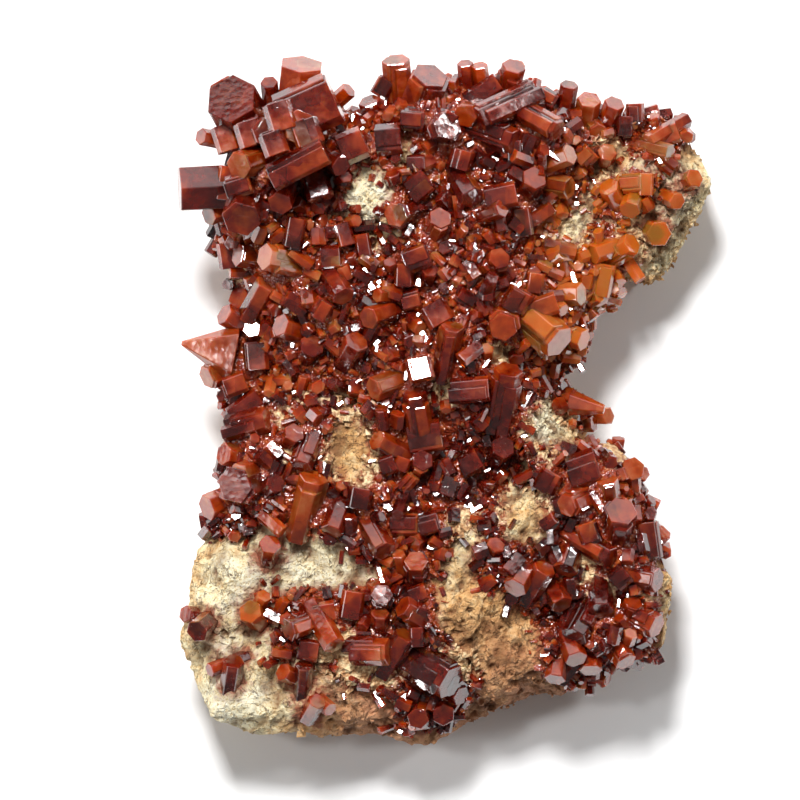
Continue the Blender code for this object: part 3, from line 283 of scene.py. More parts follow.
SINGLES = (
    ("left_edge_pair", (Crystal(-24.4, -22.8, 2.4, 2.2, 220, 35, 0.8),
                        Crystal(-25.4, -21.6, 1.8, 2.0, 170, 45, 0.7))),
    ("slab_crystal", (Crystal(-17.6, -15.0, 2.3, 2.4, 80, 30, 1.1),)),
    ("slab_pair", (Crystal(-19.2, -21.6, 2.5, 2.4, 130, 26, 1.0),
                   Crystal(-18.4, -20.1, 1.5, 1.8, 60, 40, 0.9))),
    ("lower_left_prism", (Crystal(-21.3, -27.2, 2.2, 2.8, 80, 50, 1.0),
                          Crystal(-22.8, -26.8, 1.5, 2.0, 200, 60, 0.9))),
    ("bottom_prism", (Crystal(-14.2, -27.6, 1.9, 2.6, 85, 55, 0.9),
                      Crystal(-15.6, -27.6, 1.9, 2.2, 150, 45, 0.8))),
    ("bottom_pair", (Crystal(-13.1, -30.7, 1.9, 2.0, 60, 40, 0.9),
                     Crystal(-12.0, -30.6, 1.6, 1.8, 320, 50, 0.8))),
    ("shoulder_disc", (Crystal(21.2, 16.8, 2.7, 2.0, 330, 20, 0.9),)),
    ("shoulder_bead", (Crystal(22.9, 20.1, 1.8, 1.8, 330, 30, 0.8),)),
    ("tip_crystal", (Crystal(24.6, 22.0, 2.0, 1.9, 30, 35, 0.8),)),
    ("chip_crystal", (Crystal(16.2, 24.5, 2.0, 2.0, 80, 20, 0.9),)),
)
ORANGE_NODES = ("orange_crust", "shoulder_crust", "shoulder_disc", "shoulder_bead",
                "tip_crystal", "slab_pair")

# Places where the crystals run to orange, or below zero to a painted shade of darker red in recesses
# and under overhangs: x, y, radius, strength
WARM_AND_SHADE_SPOTS = (
    (16.0, 14.0, 6.0, 1.0), (20.0, 18.5, 5.0, 0.8), (11.0, 6.5, 3.5, 0.8), (12.0, 17.5, 3.0, 0.5),
    (14.0, 24.0, 3.0, 0.3), (-19.0, -21.0, 2.6, 0.4), (-13.5, -9.2, 2.2, 0.3),
    (-16.5, 14.0, 3.0, 0.4), (13.5, -1.0, 3.0, 0.2), (-12.0, -25.0, 3.0, 0.2),
    (17.0, -9.0, 3.0, 0.25), (-24.0, 5.2, 1.8, 0.45), (-18.5, 1.5, 3.0, 0.3),
    (4.0, -8.0, 4.5, -0.9), (-4.0, -22.0, 4.0, -0.7), (-0.8, -27.5, 3.0, -0.9),
    (13.0, -21.0, 4.0, -0.8), (6.5, 26.0, 3.5, -0.7), (-11.5, 21.0, 3.5, -0.8),
    (-19.0, -2.0, 2.6, -0.5), (-13.5, -26.0, 2.4, -0.5), (7.0, -14.0, 4.0, -0.6),
    (12.0, -13.0, 4.0, -0.4),
)
# Parts of the rock that are smoother than the rest: x, y, radius, by how much
SMOOTH_SPOTS = (
    (-21.0, -17.0, 5.0, 0.5), (-13.0, -19.0, 4.0, 0.3), (-21.0, -30.0, 4.5, 0.5),
    (23.0, 18.0, 7.0, -0.6), (4.0, -21.0, 5.0, -0.4), (8.5, -3.0, 4.0, -0.7),
)
# Places inside the crusts where the rock shows through: x, y, radius, how much
BARE_SPOTS = (
    (-9.2, -5.8, 3.2, 0.9), (-9.5, -0.2, 2.2, 0.8), (-3.8, 24.5, 1.3, 0.9), (-0.1, 0.7, 1.7, 0.8),
    (5.4, 4.8, 1.5, 0.7), (1.6, -12.6, 1.8, 1.0), (7.9, -11.0, 3.0, 0.9), (16.9, -5.3, 1.6, 0.8),
    (-15.5, -5.5, 1.2, 0.6), (-16.1, -1.6, 1.8, 0.5), (-13.4, 0.3, 1.3, 0.5),
    (-9.0, -28.0, 4.5, 0.9), (-12.0, -26.0, 3.0, 0.6), (16.2, 24.2, 2.4, 0.9),
    (12.5, 16.8, 2.2, 0.9), (21.2, 15.2, 3.0, 0.9), (13.5, -16.5, 2.0, 0.7),
    (-15.5, 13.9, 1.6, 0.5), (-21.2, 13.5, 2.0, 0.7), (-6.2, 16.6, 2.0, 0.8),
    (10.6, -3.0, 3.2, 0.9), (15.8, -19.4, 1.6, 0.7), (2.0, -26.0, 2.6, 0.7),
    (19.0, 17.0, 2.2, 0.6), (-6.4, -17.0, 1.4, 0.5), (20.8, -19.0, 2.0, 0.6),
)
# Places strewn with small loose-looking chips: x, y, radius, how thickly
CHIP_SPOTS = (
    (24.0, 20.5, 4.5, 1.0), (21.5, 14.0, 3.5, 1.0), (17.5, 24.5, 3.0, 0.9), (12.5, 17.0, 3.0, 0.9),
    (10.0, -3.0, 3.5, 1.0), (-7.0, 19.5, 3.5, 0.7), (-8.5, -5.5, 3.5, 0.6), (4.5, -8.0, 3.5, 0.8),
    (0.8, -12.5, 2.2, 0.9), (4.0, -21.5, 5.5, 0.35), (-9.0, -30.0, 6.5, 0.35),
    (9.0, -29.0, 6.5, 0.4), (-12.5, -16.5, 3.5, 0.35), (21.0, -19.0, 3.0, 0.8),
    (-22.5, -23.0, 3.0, 0.4), (-14.5, -20.5, 1.8, 0.9), (-21.0, 16.0, 2.5, 0.8),
    (-16.5, -1.0, 2.4, 0.7), (14.5, -14.5, 1.6, 0.8), (16.0, -19.0, 1.6, 0.8),
)
# Stained parts of the rock: x, y, radius, cream to tan, pink
STAINS = (
    (-17.0, -20.0, 10.0, -0.9, -0.3), (-22.0, -31.0, 5.0, -0.8, -0.3),
    (23.5, 21.0, 6.0, -0.7, -0.4), (20.5, 14.5, 4.0, -0.6, -0.3),
    (3.4, -21.5, 6.5, 0.5, 0.0), (-9.0, -5.5, 4.0, 0.6, 0.0),
    (-6.0, -30.0, 8.0, 0.45, 0.8), (9.0, -29.0, 7.0, 0.6, 0.5), (-7.0, 19.5, 4.5, -0.7, 0.0),
    (9.0, -2.5, 4.0, -0.7, -0.2), (13.5, 16.0, 3.0, -0.4, 0.0), (0.5, -12.5, 3.0, -0.7, 0.0),
    (7.5, -11.5, 3.5, 0.2, -0.4),
)


def linear(hex_colour):
    """sRGB hex to linear RGBA."""
    values = [int(hex_colour[i:i + 2], 16) / 255 for i in (1, 3, 5)]
    return (*((v / 12.92 if v <= 0.04045 else ((v + 0.055) / 1.055) ** 2.4)
              for v in values), 1.0)


def set_inputs(tree, node, inputs):
    """Link the inputs that are given a socket, and set the others."""
    for key, value in inputs.items():
        if isinstance(value, bpy.types.NodeSocket):
            tree.links.new(value, node.inputs[key])
        else:
            node.inputs[key].default_value = value


def add_node(tree, kind, settings=None, inputs=None):
    """Add one node with its settings, and set or link its inputs."""
    made = tree.nodes.new(kind)
    for key, value in (settings or {}).items():
        if key == "stops":
            ramp = made.color_ramp
            while len(ramp.elements) < len(value):
                ramp.elements.new(1.0)
            for element, (place, colour) in zip(ramp.elements, value):
                element.position = place
                element.color = colour
        else:
            setattr(made, key, value)
    set_inputs(tree, made, inputs or {})
    return made


def new_material(name):
    """An empty node material with its Principled shader."""
    material = bpy.data.materials.new(name)
    material.use_nodes = True
    return material, material.node_tree, material.node_tree.nodes["Principled BSDF"]


MIX_A, MIX_B, MIX_OUT = 6, 7, 2     # colour sockets of the Mix node
# Widths of what the materials' patterns show
CLOUD = 1.538               # cloudy patches inside a crystal
ZONE = 2.381                # growth zones of slightly different colour
BLOCK = 0.588               # tilted blocks of a growth face, drawn coarse enough to show
DRUSE_GRAIN = 0.3125        # grains of the druse, drawn coarse enough to show
DRUSE_PATCH = 0.769         # paler and deeper patches of the druse
STAIN_PATCH = 2.381         # iron stain on the rock
MOTTLE = 0.6667             # finer unevenness of the stain
WRINKLE = 2.083             # between the rock's dark lines
ROCK_GRAIN = 0.3333         # grains of the rock, drawn coarse enough to show
PAPER_CLOUD = 25.0          # unevenness of the paper


def repeats(width):
    """Scale of a pattern whose features are of the given width."""
    return 1 / (width * MM)


def vanadinite(name, colours):
    """Vanadinite: lead vanadate chloride, adamantine and see-through at the edges.

    A very high index gives hard white flashes off the natural growth faces, a mosaic of
    slightly tilted growth blocks breaks those flashes up, and light scatters red through the
    cloudy body. The colour is painted darker at each crystal's foot as painted shade and
    lighter at its tip as a painted glow; listed recesses are painted darker red as shade.
    colours: four from the darkest to the brightest part, then the orange of the places that run to
    orange.
    """
    material, tree, shader = new_material(name)
    deep, warm_or_shade, along = (add_node(tree, "ShaderNodeAttribute", {"attribute_name": mark})
                         for mark in MARKS)
    place = add_node(tree, "ShaderNodeTexCoord")
    apart = add_node(tree, "ShaderNodeVectorMath", {"operation": "SCALE"}, {
        0: deep.outputs["Color"], "Scale": 0.11})
    own = add_node(tree, "ShaderNodeVectorMath", {"operation": "ADD"}, {
        0: place.outputs["Object"], 1: apart.outputs[0]})
    cloud = add_node(tree, "ShaderNodeTexNoise", inputs={
        "Vector": own.outputs[0], "Scale": repeats(CLOUD), "Detail": 5.0, "Roughness": 0.55})
    facet = add_node(tree, "ShaderNodeTexVoronoi", {"distance": "CHEBYCHEV"}, {
        "Vector": own.outputs[0], "Scale": repeats(ZONE)})
    # The body's tone: the foot is painted darker as shade and the tip lighter as a glow, and the
    # orange mark below zero paints shade darker red.
    toned = 0.03
    for source, share in ((cloud.outputs["Fac"], 0.75), (facet.outputs["Color"], 0.18),
                          (along.outputs["Fac"], 0.30), (warm_or_shade.outputs["Fac"], 0.3),
                          (deep.outputs["Fac"], -0.55)):
        step = add_node(tree, "ShaderNodeMath", {"operation": "MULTIPLY_ADD"}, {
            0: source, 1: share, 2: toned})
        toned = step.outputs["Value"]
    body = add_node(tree, "ShaderNodeValToRGB", {
        "stops": tuple(zip((0.1, 0.38, 0.62, 0.9), colours))}, {"Fac": toned})
    heat = add_node(tree, "ShaderNodeMath", {"operation": "MULTIPLY"}, {
        0: warm_or_shade.outputs["Fac"], 1: toned})
    shaded = add_node(tree, "ShaderNodeMix", {"data_type": "RGBA"}, {
        0: heat.outputs["Value"], MIX_A: body.outputs["Color"], MIX_B: colours[4]})
    mosaic = add_node(tree, "ShaderNodeTexVoronoi", inputs={
        "Vector": own.outputs[0], "Scale": repeats(BLOCK), "Randomness": 0.8})
    tilted = add_node(tree, "ShaderNodeMath", {"operation": "MULTIPLY"}, {
        0: mosaic.outputs["Distance"], 1: mosaic.outputs["Color"]})
    bump = add_node(tree, "ShaderNodeBump", inputs={
        "Strength": 0.35, "Distance": 0.05 * MM, "Height": tilted.outputs["Value"]})
    frost = add_node(tree, "ShaderNodeMapRange", {"clamp": True}, {
        "Value": cloud.outputs["Fac"], "From Min": 0.3, "From Max": 0.7,
        "To Min": 0.03, "To Max": 0.2})
    set_inputs(tree, shader, {
        "Base Color": shaded.outputs[MIX_OUT], "Normal": bump.outputs["Normal"],
        "Roughness": frost.outputs["Result"], "IOR": 2.3, "Transmission Weight": 0.45,
        "Subsurface Weight": 0.7, "Subsurface Radius": (1.0, 0.22, 0.06),
        "Subsurface Scale": 0.9 * MM})
    return material


def drusy_ground(name):
    """Fine-grained vanadinite between the crystals: grains too small to tell apart.

    Sparkles sharply from its many grains and is nearly opaque; where little of it has grown
    the dull tan rock shows through.
    """
    material, tree, shader = new_material(name)
    place = add_node(tree, "ShaderNodeTexCoord")
    bare = add_node(tree, "ShaderNodeAttribute", {"attribute_name": "bare"})
    grains = add_node(tree, "ShaderNodeTexVoronoi", inputs={
        "Vector": place.outputs["Object"], "Scale": repeats(DRUSE_GRAIN)})
    broad = add_node(tree, "ShaderNodeTexNoise", inputs={
        "Vector": place.outputs["Object"], "Scale": repeats(DRUSE_PATCH), "Detail": 5.0,
        "Roughness": 0.7})
    tone = add_node(tree, "ShaderNodeValToRGB", {"stops": (
        (0.28, linear("#4a1006")), (0.5, linear("#8a2c0e")), (0.75, linear("#b8662c")))},
        {"Fac": broad.outputs["Fac"]})
    rock_tone = add_node(tree, "ShaderNodeValToRGB", {"stops": (
        (0.30, linear("#5a3418")), (0.45, linear("#b88450")), (0.62, linear("#f2dcac")))},
        {"Fac": broad.outputs["Fac"]})
    edge = add_node(tree, "ShaderNodeMath", {"operation": "ADD"}, {
        0: bare.outputs["Fac"], 1: broad.outputs["Fac"]})
    shows = add_node(tree, "ShaderNodeMapRange", {"clamp": True}, {
        "Value": edge.outputs["Value"], "From Min": 0.80, "From Max": 1.0})
    colour = add_node(tree, "ShaderNodeMix", {"data_type": "RGBA"}, {
        0: shows.outputs["Result"], MIX_A: tone.outputs["Color"],
        MIX_B: rock_tone.outputs["Color"]})
    dull = add_node(tree, "ShaderNodeMapRange", {"clamp": True}, {
        "Value": shows.outputs["Result"], "To Min": 0.18, "To Max": 0.85})
    bump = add_node(tree, "ShaderNodeBump", inputs={
        "Strength": 0.9, "Distance": 0.18 * MM, "Height": grains.outputs["Distance"]})
    set_inputs(tree, shader, {
        "Base Color": colour.outputs[MIX_OUT], "Roughness": dull.outputs["Result"],
        "Normal": bump.outputs["Normal"], "IOR": 1.9})
    return material


def host_rock(name, pale, tan):
    """Weathered baryte rock with iron stain: dull, chalky cream, tan where stained, with painted
    shade darkening its pits to brown.
    """
    material, tree, shader = new_material(name)
    place = add_node(tree, "ShaderNodeTexCoord")
    stain, pink, hollow, near = (
        add_node(tree, "ShaderNodeAttribute", {"attribute_name": mark})
        for mark in ("stain", "pink", "hollow", "rust"))
    patches = add_node(tree, "ShaderNodeTexNoise", inputs={
        "Vector": place.outputs["Object"], "Scale": repeats(STAIN_PATCH), "Detail": 5.0,
        "Roughness": 0.65})
    spread = add_node(tree, "ShaderNodeMath", {"operation": "MULTIPLY_ADD"}, {
        0: patches.outputs["Fac"], 1: 1.3, 2: -0.65})
    amount = add_node(tree, "ShaderNodeMath", {"operation": "ADD", "use_clamp": True}, {
        0: stain.outputs["Fac"], 1: spread.outputs["Value"]})
    tone = add_node(tree, "ShaderNodeValToRGB", {"stops": (
        (0.0, linear("#fffae0")), (0.35, pale), (0.65, linear("#ecbc7c")), (1.0, tan))}, {
        "Fac": amount.outputs["Value"]})
    rosy = add_node(tree, "ShaderNodeMix", {"data_type": "RGBA"}, {
        0: pink.outputs["Fac"], MIX_A: tone.outputs["Color"], MIX_B: linear("#cc9070")})
    mottle = add_node(tree, "ShaderNodeTexNoise", inputs={
        "Vector": place.outputs["Object"], "Scale": repeats(MOTTLE), "Detail": 3.0, "Roughness": 0.7})
    rusty = add_node(tree, "ShaderNodeMath", {"operation": "MULTIPLY"}, {
        0: near.outputs["Fac"], 1: mottle.outputs["Fac"]})
    rust_edge = add_node(tree, "ShaderNodeMapRange", {"clamp": True}, {
        "Value": rusty.outputs["Value"], "From Min": 0.22, "From Max": 0.40, "To Max": 0.9})
    reddened = add_node(tree, "ShaderNodeMix", {"data_type": "RGBA"}, {
        0: rust_edge.outputs["Result"], MIX_A: rosy.outputs[MIX_OUT],
        MIX_B: linear("#9a4420")})
    wrinkle = add_node(tree, "ShaderNodeTexNoise", inputs={
        "Vector": place.outputs["Object"], "Scale": repeats(WRINKLE), "Detail": 4.0,
        "Roughness": 0.6,
        "Distortion": 1.4})
    off_line = add_node(tree, "ShaderNodeMath", {"operation": "SUBTRACT"}, {
        0: wrinkle.outputs["Fac"], 1: 0.5})
    gap = add_node(tree, "ShaderNodeMath", {"operation": "ABSOLUTE"}, {
        0: off_line.outputs["Value"]})
    line = add_node(tree, "ShaderNodeMapRange", {"clamp": True}, {
        "Value": gap.outputs["Value"], "From Min": 0.003, "From Max": 0.022,
        "To Min": 0.85, "To Max": 0.0})
    shown = add_node(tree, "ShaderNodeMapRange", {"clamp": True}, {
        "Value": mottle.outputs["Fac"], "From Min": 0.40, "From Max": 0.58})
    lined = add_node(tree, "ShaderNodeMath", {"operation": "MULTIPLY"}, {
        0: line.outputs["Result"], 1: shown.outputs["Result"]})
    # Painted shade: the pits are darkened to brown, together with the rock's real dark lines.
    dark = add_node(tree, "ShaderNodeMath", {"operation": "MAXIMUM"}, {
        0: lined.outputs["Value"], 1: hollow.outputs["Fac"]})
    lines_and_pit_shade = add_node(tree, "ShaderNodeMix", {"data_type": "RGBA"}, {
        0: dark.outputs["Value"], MIX_A: reddened.outputs[MIX_OUT], MIX_B: linear("#7c4c20")})
    grains = add_node(tree, "ShaderNodeTexNoise", inputs={
        "Vector": place.outputs["Object"], "Scale": repeats(ROCK_GRAIN), "Detail": 4.0,
        "Roughness": 0.8})
    speckle = add_node(tree, "ShaderNodeValToRGB", {"stops": (
        (0.33, linear("#5c3414")), (0.41, linear("#e8d4b0")), (0.50, linear("#ffffff")))},
        {"Fac": grains.outputs["Fac"]})
    speckled = add_node(tree, "ShaderNodeMix", {
        "data_type": "RGBA", "blend_type": "MULTIPLY"}, {
        0: 0.9, MIX_A: lines_and_pit_shade.outputs[MIX_OUT], MIX_B: speckle.outputs["Color"]})
    relief = add_node(tree, "ShaderNodeMath", {"operation": "SUBTRACT"}, {
        0: grains.outputs["Fac"], 1: lined.outputs["Value"]})
    bump = add_node(tree, "ShaderNodeBump", inputs={
        "Strength": 1.0, "Distance": 0.3 * MM, "Height": relief.outputs["Value"]})
    set_inputs(tree, shader, {
        "Base Color": speckled.outputs[MIX_OUT], "Normal": bump.outputs["Normal"],
        "Roughness": 0.8, "IOR": 1.6})
    return material


def matte_floor(name):
    """White paper sweep: even, matte and a little brighter than the rock."""
    material, tree, shader = new_material(name)
    place = add_node(tree, "ShaderNodeTexCoord")
    mottle = add_node(tree, "ShaderNodeTexNoise", inputs={
        "Vector": place.outputs["Object"], "Scale": repeats(PAPER_CLOUD), "Detail": 2.0})
    tone = add_node(tree, "ShaderNodeValToRGB", {"stops": (
        (0.0, linear("#fafafa")), (1.0, linear("#ffffff")))}, {"Fac": mottle.outputs["Fac"]})
    set_inputs(tree, shader, {"Base Color": tone.outputs["Color"], "Roughness": 0.9})
    return material


def link_object(name, mesh):
    made = bpy.data.objects.new(name, mesh)
    bpy.context.scene.collection.objects.link(made)
    return made


def baked_mesh(obj):
    """The object's mesh with its modifiers worked out."""
    bpy.context.view_layer.update()
    graph = bpy.context.evaluated_depsgraph_get()
    return bpy.data.meshes.new_from_object(obj.evaluated_get(graph))


def apply_modifiers(obj):
    mesh = baked_mesh(obj)
    obj.modifiers.clear()
    obj.data = mesh
    return obj


def form_of(mesh):
    """An editable copy of a mesh."""
    form = bmesh.new()
    form.from_mesh(mesh)
    return form


def store(form, mesh):
    """Write an edited form into a mesh and let the form go."""
    form.to_mesh(mesh)
    form.free()
    return mesh


def merged_copy(node, name):
    """A welded copy of a frame node."""
    form = form_of(frame["nodes"][node].data)
    bmesh.ops.remove_doubles(form, verts=form.verts, dist=WELD * MM)
    bmesh.ops.recalc_face_normals(form, faces=form.faces)
    return link_object(name, store(form, bpy.data.meshes.new(name)))


def tree_of(mesh):
    form = form_of(mesh)
    tree = BVHTree.FromBMesh(form)
    form.free()
    return tree


def set_values(mesh, name, values):
    """Keep one number for each vertex in a named attribute."""
    layer = mesh.attributes.get(name) or mesh.attributes.new(name, "FLOAT", "POINT")
    layer.data.foreach_set("value", np.asarray(values, np.float32))


def vertex_vectors(mesh, field):
    """One vector for each vertex: its place ("co") in metres, or its normal."""
    flat = np.empty(len(mesh.vertices) * 3, np.float32)
    mesh.vertices.foreach_get(field, flat)
    return flat.reshape(-1, 3)


def places(mesh):
    """Vertex places in millimetres."""
    return vertex_vectors(mesh, "co") / MM


def spot_sum(spots, xy, column):
    """Sum of soft round spots at every place in plan."""
    total = np.zeros(len(xy))
    for spot in spots:
        gap = (xy[:, 0] - spot[0]) ** 2 + (xy[:, 1] - spot[1]) ** 2
        total += spot[column] * np.exp(-gap / spot[2] ** 2)
    return total


def warmth(xy):
    # How orange the crystals run at each place in plan, or below zero how much painted shade darkens
    # them.
    return np.clip(spot_sum(WARM_AND_SHADE_SPOTS, xy, 3), -1, 1)


def broken_face(place, cell):
    """Height of a tilted chip of rock at a place: each cell has its own slope."""
    middle = noise.voronoi(place / cell)[1][0]
    slope = noise.noise_vector(middle * 7.31)
    return (place / cell - middle).dot(slope) + 0.35 * noise.noise(middle * 3.17)


class RockSettings(bpy.types.PropertyGroup):
    cell: bpy.props.FloatProperty(
        name="Cell", description="Spacing of the rock's mesh", default=0.00032,
        min=0.0002, max=0.002, unit="LENGTH")
    lumps: bpy.props.FloatProperty(
        name="Lumps", description="Height of the large lumps", default=0.0004,
        min=0.0, max=0.002, unit="LENGTH")
    chips: bpy.props.FloatProperty(
        name="Chips", description="Height of the broken chips", default=0.0005,
        min=0.0, max=0.002, unit="LENGTH")
    grains: bpy.props.FloatProperty(
        name="Grains", description="Depth of the fine pits", default=0.00022,
        min=0.0, max=0.001, unit="LENGTH")
    chip_spacing: bpy.props.FloatProperty(
        name="Chip Spacing", description="Least gap between loose-looking chips",
        default=0.00055, min=0.0003, max=0.005, unit="LENGTH")
    pale: bpy.props.FloatVectorProperty(
        name="Pale Rock", description="Colour of the clean cream rock",
        default=linear("#fff0c4"), size=4, min=0.0, max=1.0, subtype="COLOR")
    tan: bpy.props.FloatVectorProperty(
        name="Stained Rock", description="Colour of the most stained rock",
        default=linear("#b87c48"), size=4, min=0.0, max=1.0, subtype="COLOR")


class CrystalSettings(bpy.types.PropertyGroup):
    bed_height: bpy.props.FloatProperty(
        name="Bed Height", description="Thickness of the drusy bed over the rock",
        default=0.0005, min=0.0001, max=0.002, unit="LENGTH")
    medium_spacing: bpy.props.FloatProperty(
        name="Medium Spacing", description="Least gap between medium crystals",
        default=0.0012, min=0.0005, max=0.005, unit="LENGTH")
    small_spacing: bpy.props.FloatProperty(
        name="Small Spacing", description="Least gap between small crystals",
        default=0.0006, min=0.0003, max=0.005, unit="LENGTH")
    least_lean: bpy.props.FloatProperty(
        name="Least Lean", description="Smallest lean of a crystal's axis off the rock",
        default=math.radians(45), min=0.0, max=math.pi / 2, subtype="ANGLE")
    lean: bpy.props.FloatProperty(
        name="Lean", description="Largest lean of a crystal's axis off the rock",
        default=math.radians(89), min=0.0, max=math.pi / 2, subtype="ANGLE")
    glint: bpy.props.FloatProperty(
        name="Glint", description="Share of small crystals turned to flash the key light",
        default=0.12, min=0.0, max=1.0, subtype="FACTOR")
    red: bpy.props.FloatVectorProperty(
        name="Red", description="Body colour of the red crystals",
        default=linear("#861c06"), size=4, min=0.0, max=1.0, subtype="COLOR")
    bright_red: bpy.props.FloatVectorProperty(
        name="Bright Red", description="Colour of the red crystals' lighter parts",
        default=linear("#c6480c"), size=4, min=0.0, max=1.0, subtype="COLOR")
    orange: bpy.props.FloatVectorProperty(
        name="Orange", description="Body colour of the orange crystals",
        default=linear("#b03a08"), size=4, min=0.0, max=1.0, subtype="COLOR")
    bright_orange: bpy.props.FloatVectorProperty(
        name="Bright Orange", description="Colour of the orange crystals' lighter parts",
        default=linear("#dc6418"), size=4, min=0.0, max=1.0, subtype="COLOR")


class StageSettings(bpy.types.PropertyGroup):
    camera_height: bpy.props.FloatProperty(
        name="Camera Height", description="Height of the camera over the floor",
        default=0.9, min=0.2, max=5.0, unit="LENGTH")
    field: bpy.props.FloatProperty(
        name="Field", description="Width that the camera sees", default=0.08,
        min=0.02, max=1.0, unit="LENGTH")
    centre_x: bpy.props.FloatProperty(
        name="Centre X", description="Sideways place of the camera", default=-0.0045,
        min=-0.05, max=0.05, unit="LENGTH")


class VANADINITE_OT_rock(bpy.types.Operator):
    """Rework the matrix into fine broken rock"""
    bl_idname = "vanadinite.rock"
    bl_label = "Rock"

    def execute(self, context):
        settings = context.scene.vanadinite_rock
        rock = merged_copy("matrix", "rock")
        remesh = rock.modifiers.new("even_cells", "REMESH")
        remesh.mode = "VOXEL"
        remesh.voxel_size = settings.cell
        apply_modifiers(rock)
        sculpt_rock(rock.data, settings)
        flatten_underside(rock.data)
        rock.data.materials.clear()
        rock.data.materials.append(host_rock(
            "weathered_baryte_rock", settings.pale, settings.tan))
        rock = strew_chips(rock, settings)
        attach(rock, "root")
        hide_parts("matrix")
        return {"FINISHED"}


def sculpt_rock(mesh, settings):
    """Move the rock's vertices into lumps, tilted chips and grains, and mark its stains and the
    painted shade of its pits.
    """
    noise.seed_set(SEED)
    here = places(mesh)
    normals = vertex_vectors(mesh, "normal")
    coarse = np.clip(0.35 + spot_sum(SMOOTH_SPOTS, here[:, :2], 3), -0.5, 1.0)
    shift = np.zeros(len(here))
    for i, (x, y, z) in enumerate(here.tolist()):
        place = Vector((x, y, z))
        lump = noise.fractal(place / LUMP_WIDTH, 1.0, 2.1, 3)
        chip = broken_face(place, CHIP_WIDTH) + 0.6 * broken_face(place, FINE_CHIP_WIDTH)
        pit = (0.25 * noise.noise(place / GRAIN_WIDTH)
               - max(noise.noise(place / PIT_WIDTH) - 0.1, 0) * 2.4)
        shift[i] = (settings.lumps * lump + settings.chips * chip * (1.35 - coarse[i])
                    + settings.grains * pit * (1.5 - coarse[i])) / MM
    shift *= np.clip(here[:, 2] / FADE_HEIGHT, 0, 1)
    moved = here + normals * shift[:, None]
    moved[:, 2] = np.where(here[:, 2] < FLAT_BELOW, 0.0, np.maximum(moved[:, 2], 0.0))
    mesh.vertices.foreach_set("co", (moved * MM).astype(np.float32).ravel())
    xy = moved[:, :2]
    # The rock is made tanner the lower it lies.
    deep = np.clip(0.35 - 0.5 * (moved[:, 2] - 8.0) / 8.0, 0, 0.5)
    set_values(mesh, "stain", np.clip(0.42 + spot_sum(STAINS, xy, 3) * 0.45 + deep, 0, 1))
    set_values(mesh, "pink", np.clip(spot_sum(STAINS, xy, 4), 0, 0.8))
    # Painted shade: the deeper the rock is pitted here, the darker its pits are painted.
    set_values(mesh, "hollow", np.clip(-shift * 2.2, 0, 0.9))
    set_values(mesh, "rust", rust(moved))
    mesh.update()


def strew_chips(rock, settings):
    """Add small angular chips to the rock where it has crumbled."""
    guide = rock.copy()
    guide.data = rock.data.copy()
    bpy.context.scene.collection.objects.link(guide)
    here = places(guide.data)
    strewn = np.clip(spot_sum(CHIP_SPOTS, here[:, :2], 3), 0, 1)
    strewn[(here[:, 2] < CHIP_FLOOR) | (here[:, 0] > CAD_BOX[1][0] / MM - BOX_ROOM)] = 0.0
    set_values(guide.data, "free", strewn)
    shapes = chip_shapes("chip_shapes")
    chips = grow("rock_chips", guide, growth_tree(), {
        "Spacing": settings.chip_spacing, "Smallest": CHIP_SIZES[0], "Largest": CHIP_SIZES[1],
        "Least Lean": 0.0, "Lean": math.pi / 2, "Glint": 0.0, "Seed": SEED,
        "Shapes": shapes, "Finish": rock.data.materials[0]})
    bpy.data.objects.remove(guide, do_unlink=True)
    clear_folder(shapes)
    return join("rock", [rock, chips])


def chip_shapes(name):
    """A collection of irregular splinters of rock, each about 1 mm across."""
    folder = bpy.data.collections.new(name)
    dice = random.Random(SEED)
    for number in range(CHIP_KINDS):
        form = bmesh.new()
        for _ in range(CHIP_POINTS):
            form.verts.new([dice.uniform(-0.5, 0.5) * MM * share for share in (1, 0.8, 0.6)])
        bmesh.ops.convex_hull(form, input=form.verts)
        inside = [vertex for vertex in form.verts if not vertex.link_faces]
        bmesh.ops.delete(form, geom=inside, context="VERTS")
        mesh = store(form, bpy.data.meshes.new(f"{name}_{number}"))
        folder.objects.link(bpy.data.objects.new(f"{name}_{number}", mesh))
    return folder


def clear_folder(folder):
    """Take away a collection of shapes once the growth has used it."""
    for item in list(folder.objects):
        bpy.data.objects.remove(item, do_unlink=True)
    bpy.data.collections.remove(folder)


def rust(here):
    """How red-brown the rock is stained by the crystals beside it, from 0 to 1."""
    form = bmesh.new()
    for node, _ in (*CRUSTS, *SINGLES):
        form.from_mesh(frame["nodes"][node].data)
    tree = BVHTree.FromBMesh(form)
    form.free()
    gaps = [tree.find_nearest(Vector(place) * MM)[3] / MM for place in here.tolist()]
    return np.exp(-np.array(gaps) / RUST_REACH)


def flatten_underside(mesh):
    """Make the flat underside one face, where fine cells would show nothing."""
    form = form_of(mesh)
    under = [face for face in form.faces if all(vertex.co.z == 0.0 for vertex in face.verts)]
    bmesh.ops.dissolve_faces(form, faces=under)
    store(form, mesh)


class Ground:
    """Height of the frame's rock under a place in plan."""

    def __init__(self):
        cad = merged_copy("matrix", "ground_guide")
        self.tree = tree_of(cad.data)
        bpy.data.objects.remove(cad, do_unlink=True)

    def height(self, x, y):
        above = Vector((x, y, SKY)) * MM
        hit = self.tree.ray_cast(above, Vector((0, 0, -1)))[0]
        if hit is None:
            hit = self.tree.find_nearest(Vector((x, y, ROCK_MIDDLE)) * MM)[0]
        return hit.z / MM


def axis_turn(crystal):
    """Rotation that lays +Z along the crystal's leaning axis."""
    lean = Matrix.Rotation(math.radians(crystal.tilt), 4, "Y")
    head = Matrix.Rotation(math.radians(crystal.heading), 4, "Z")
    roll = Matrix.Rotation(math.radians(crystal.roll), 4, "Z")
    return head @ lean @ roll


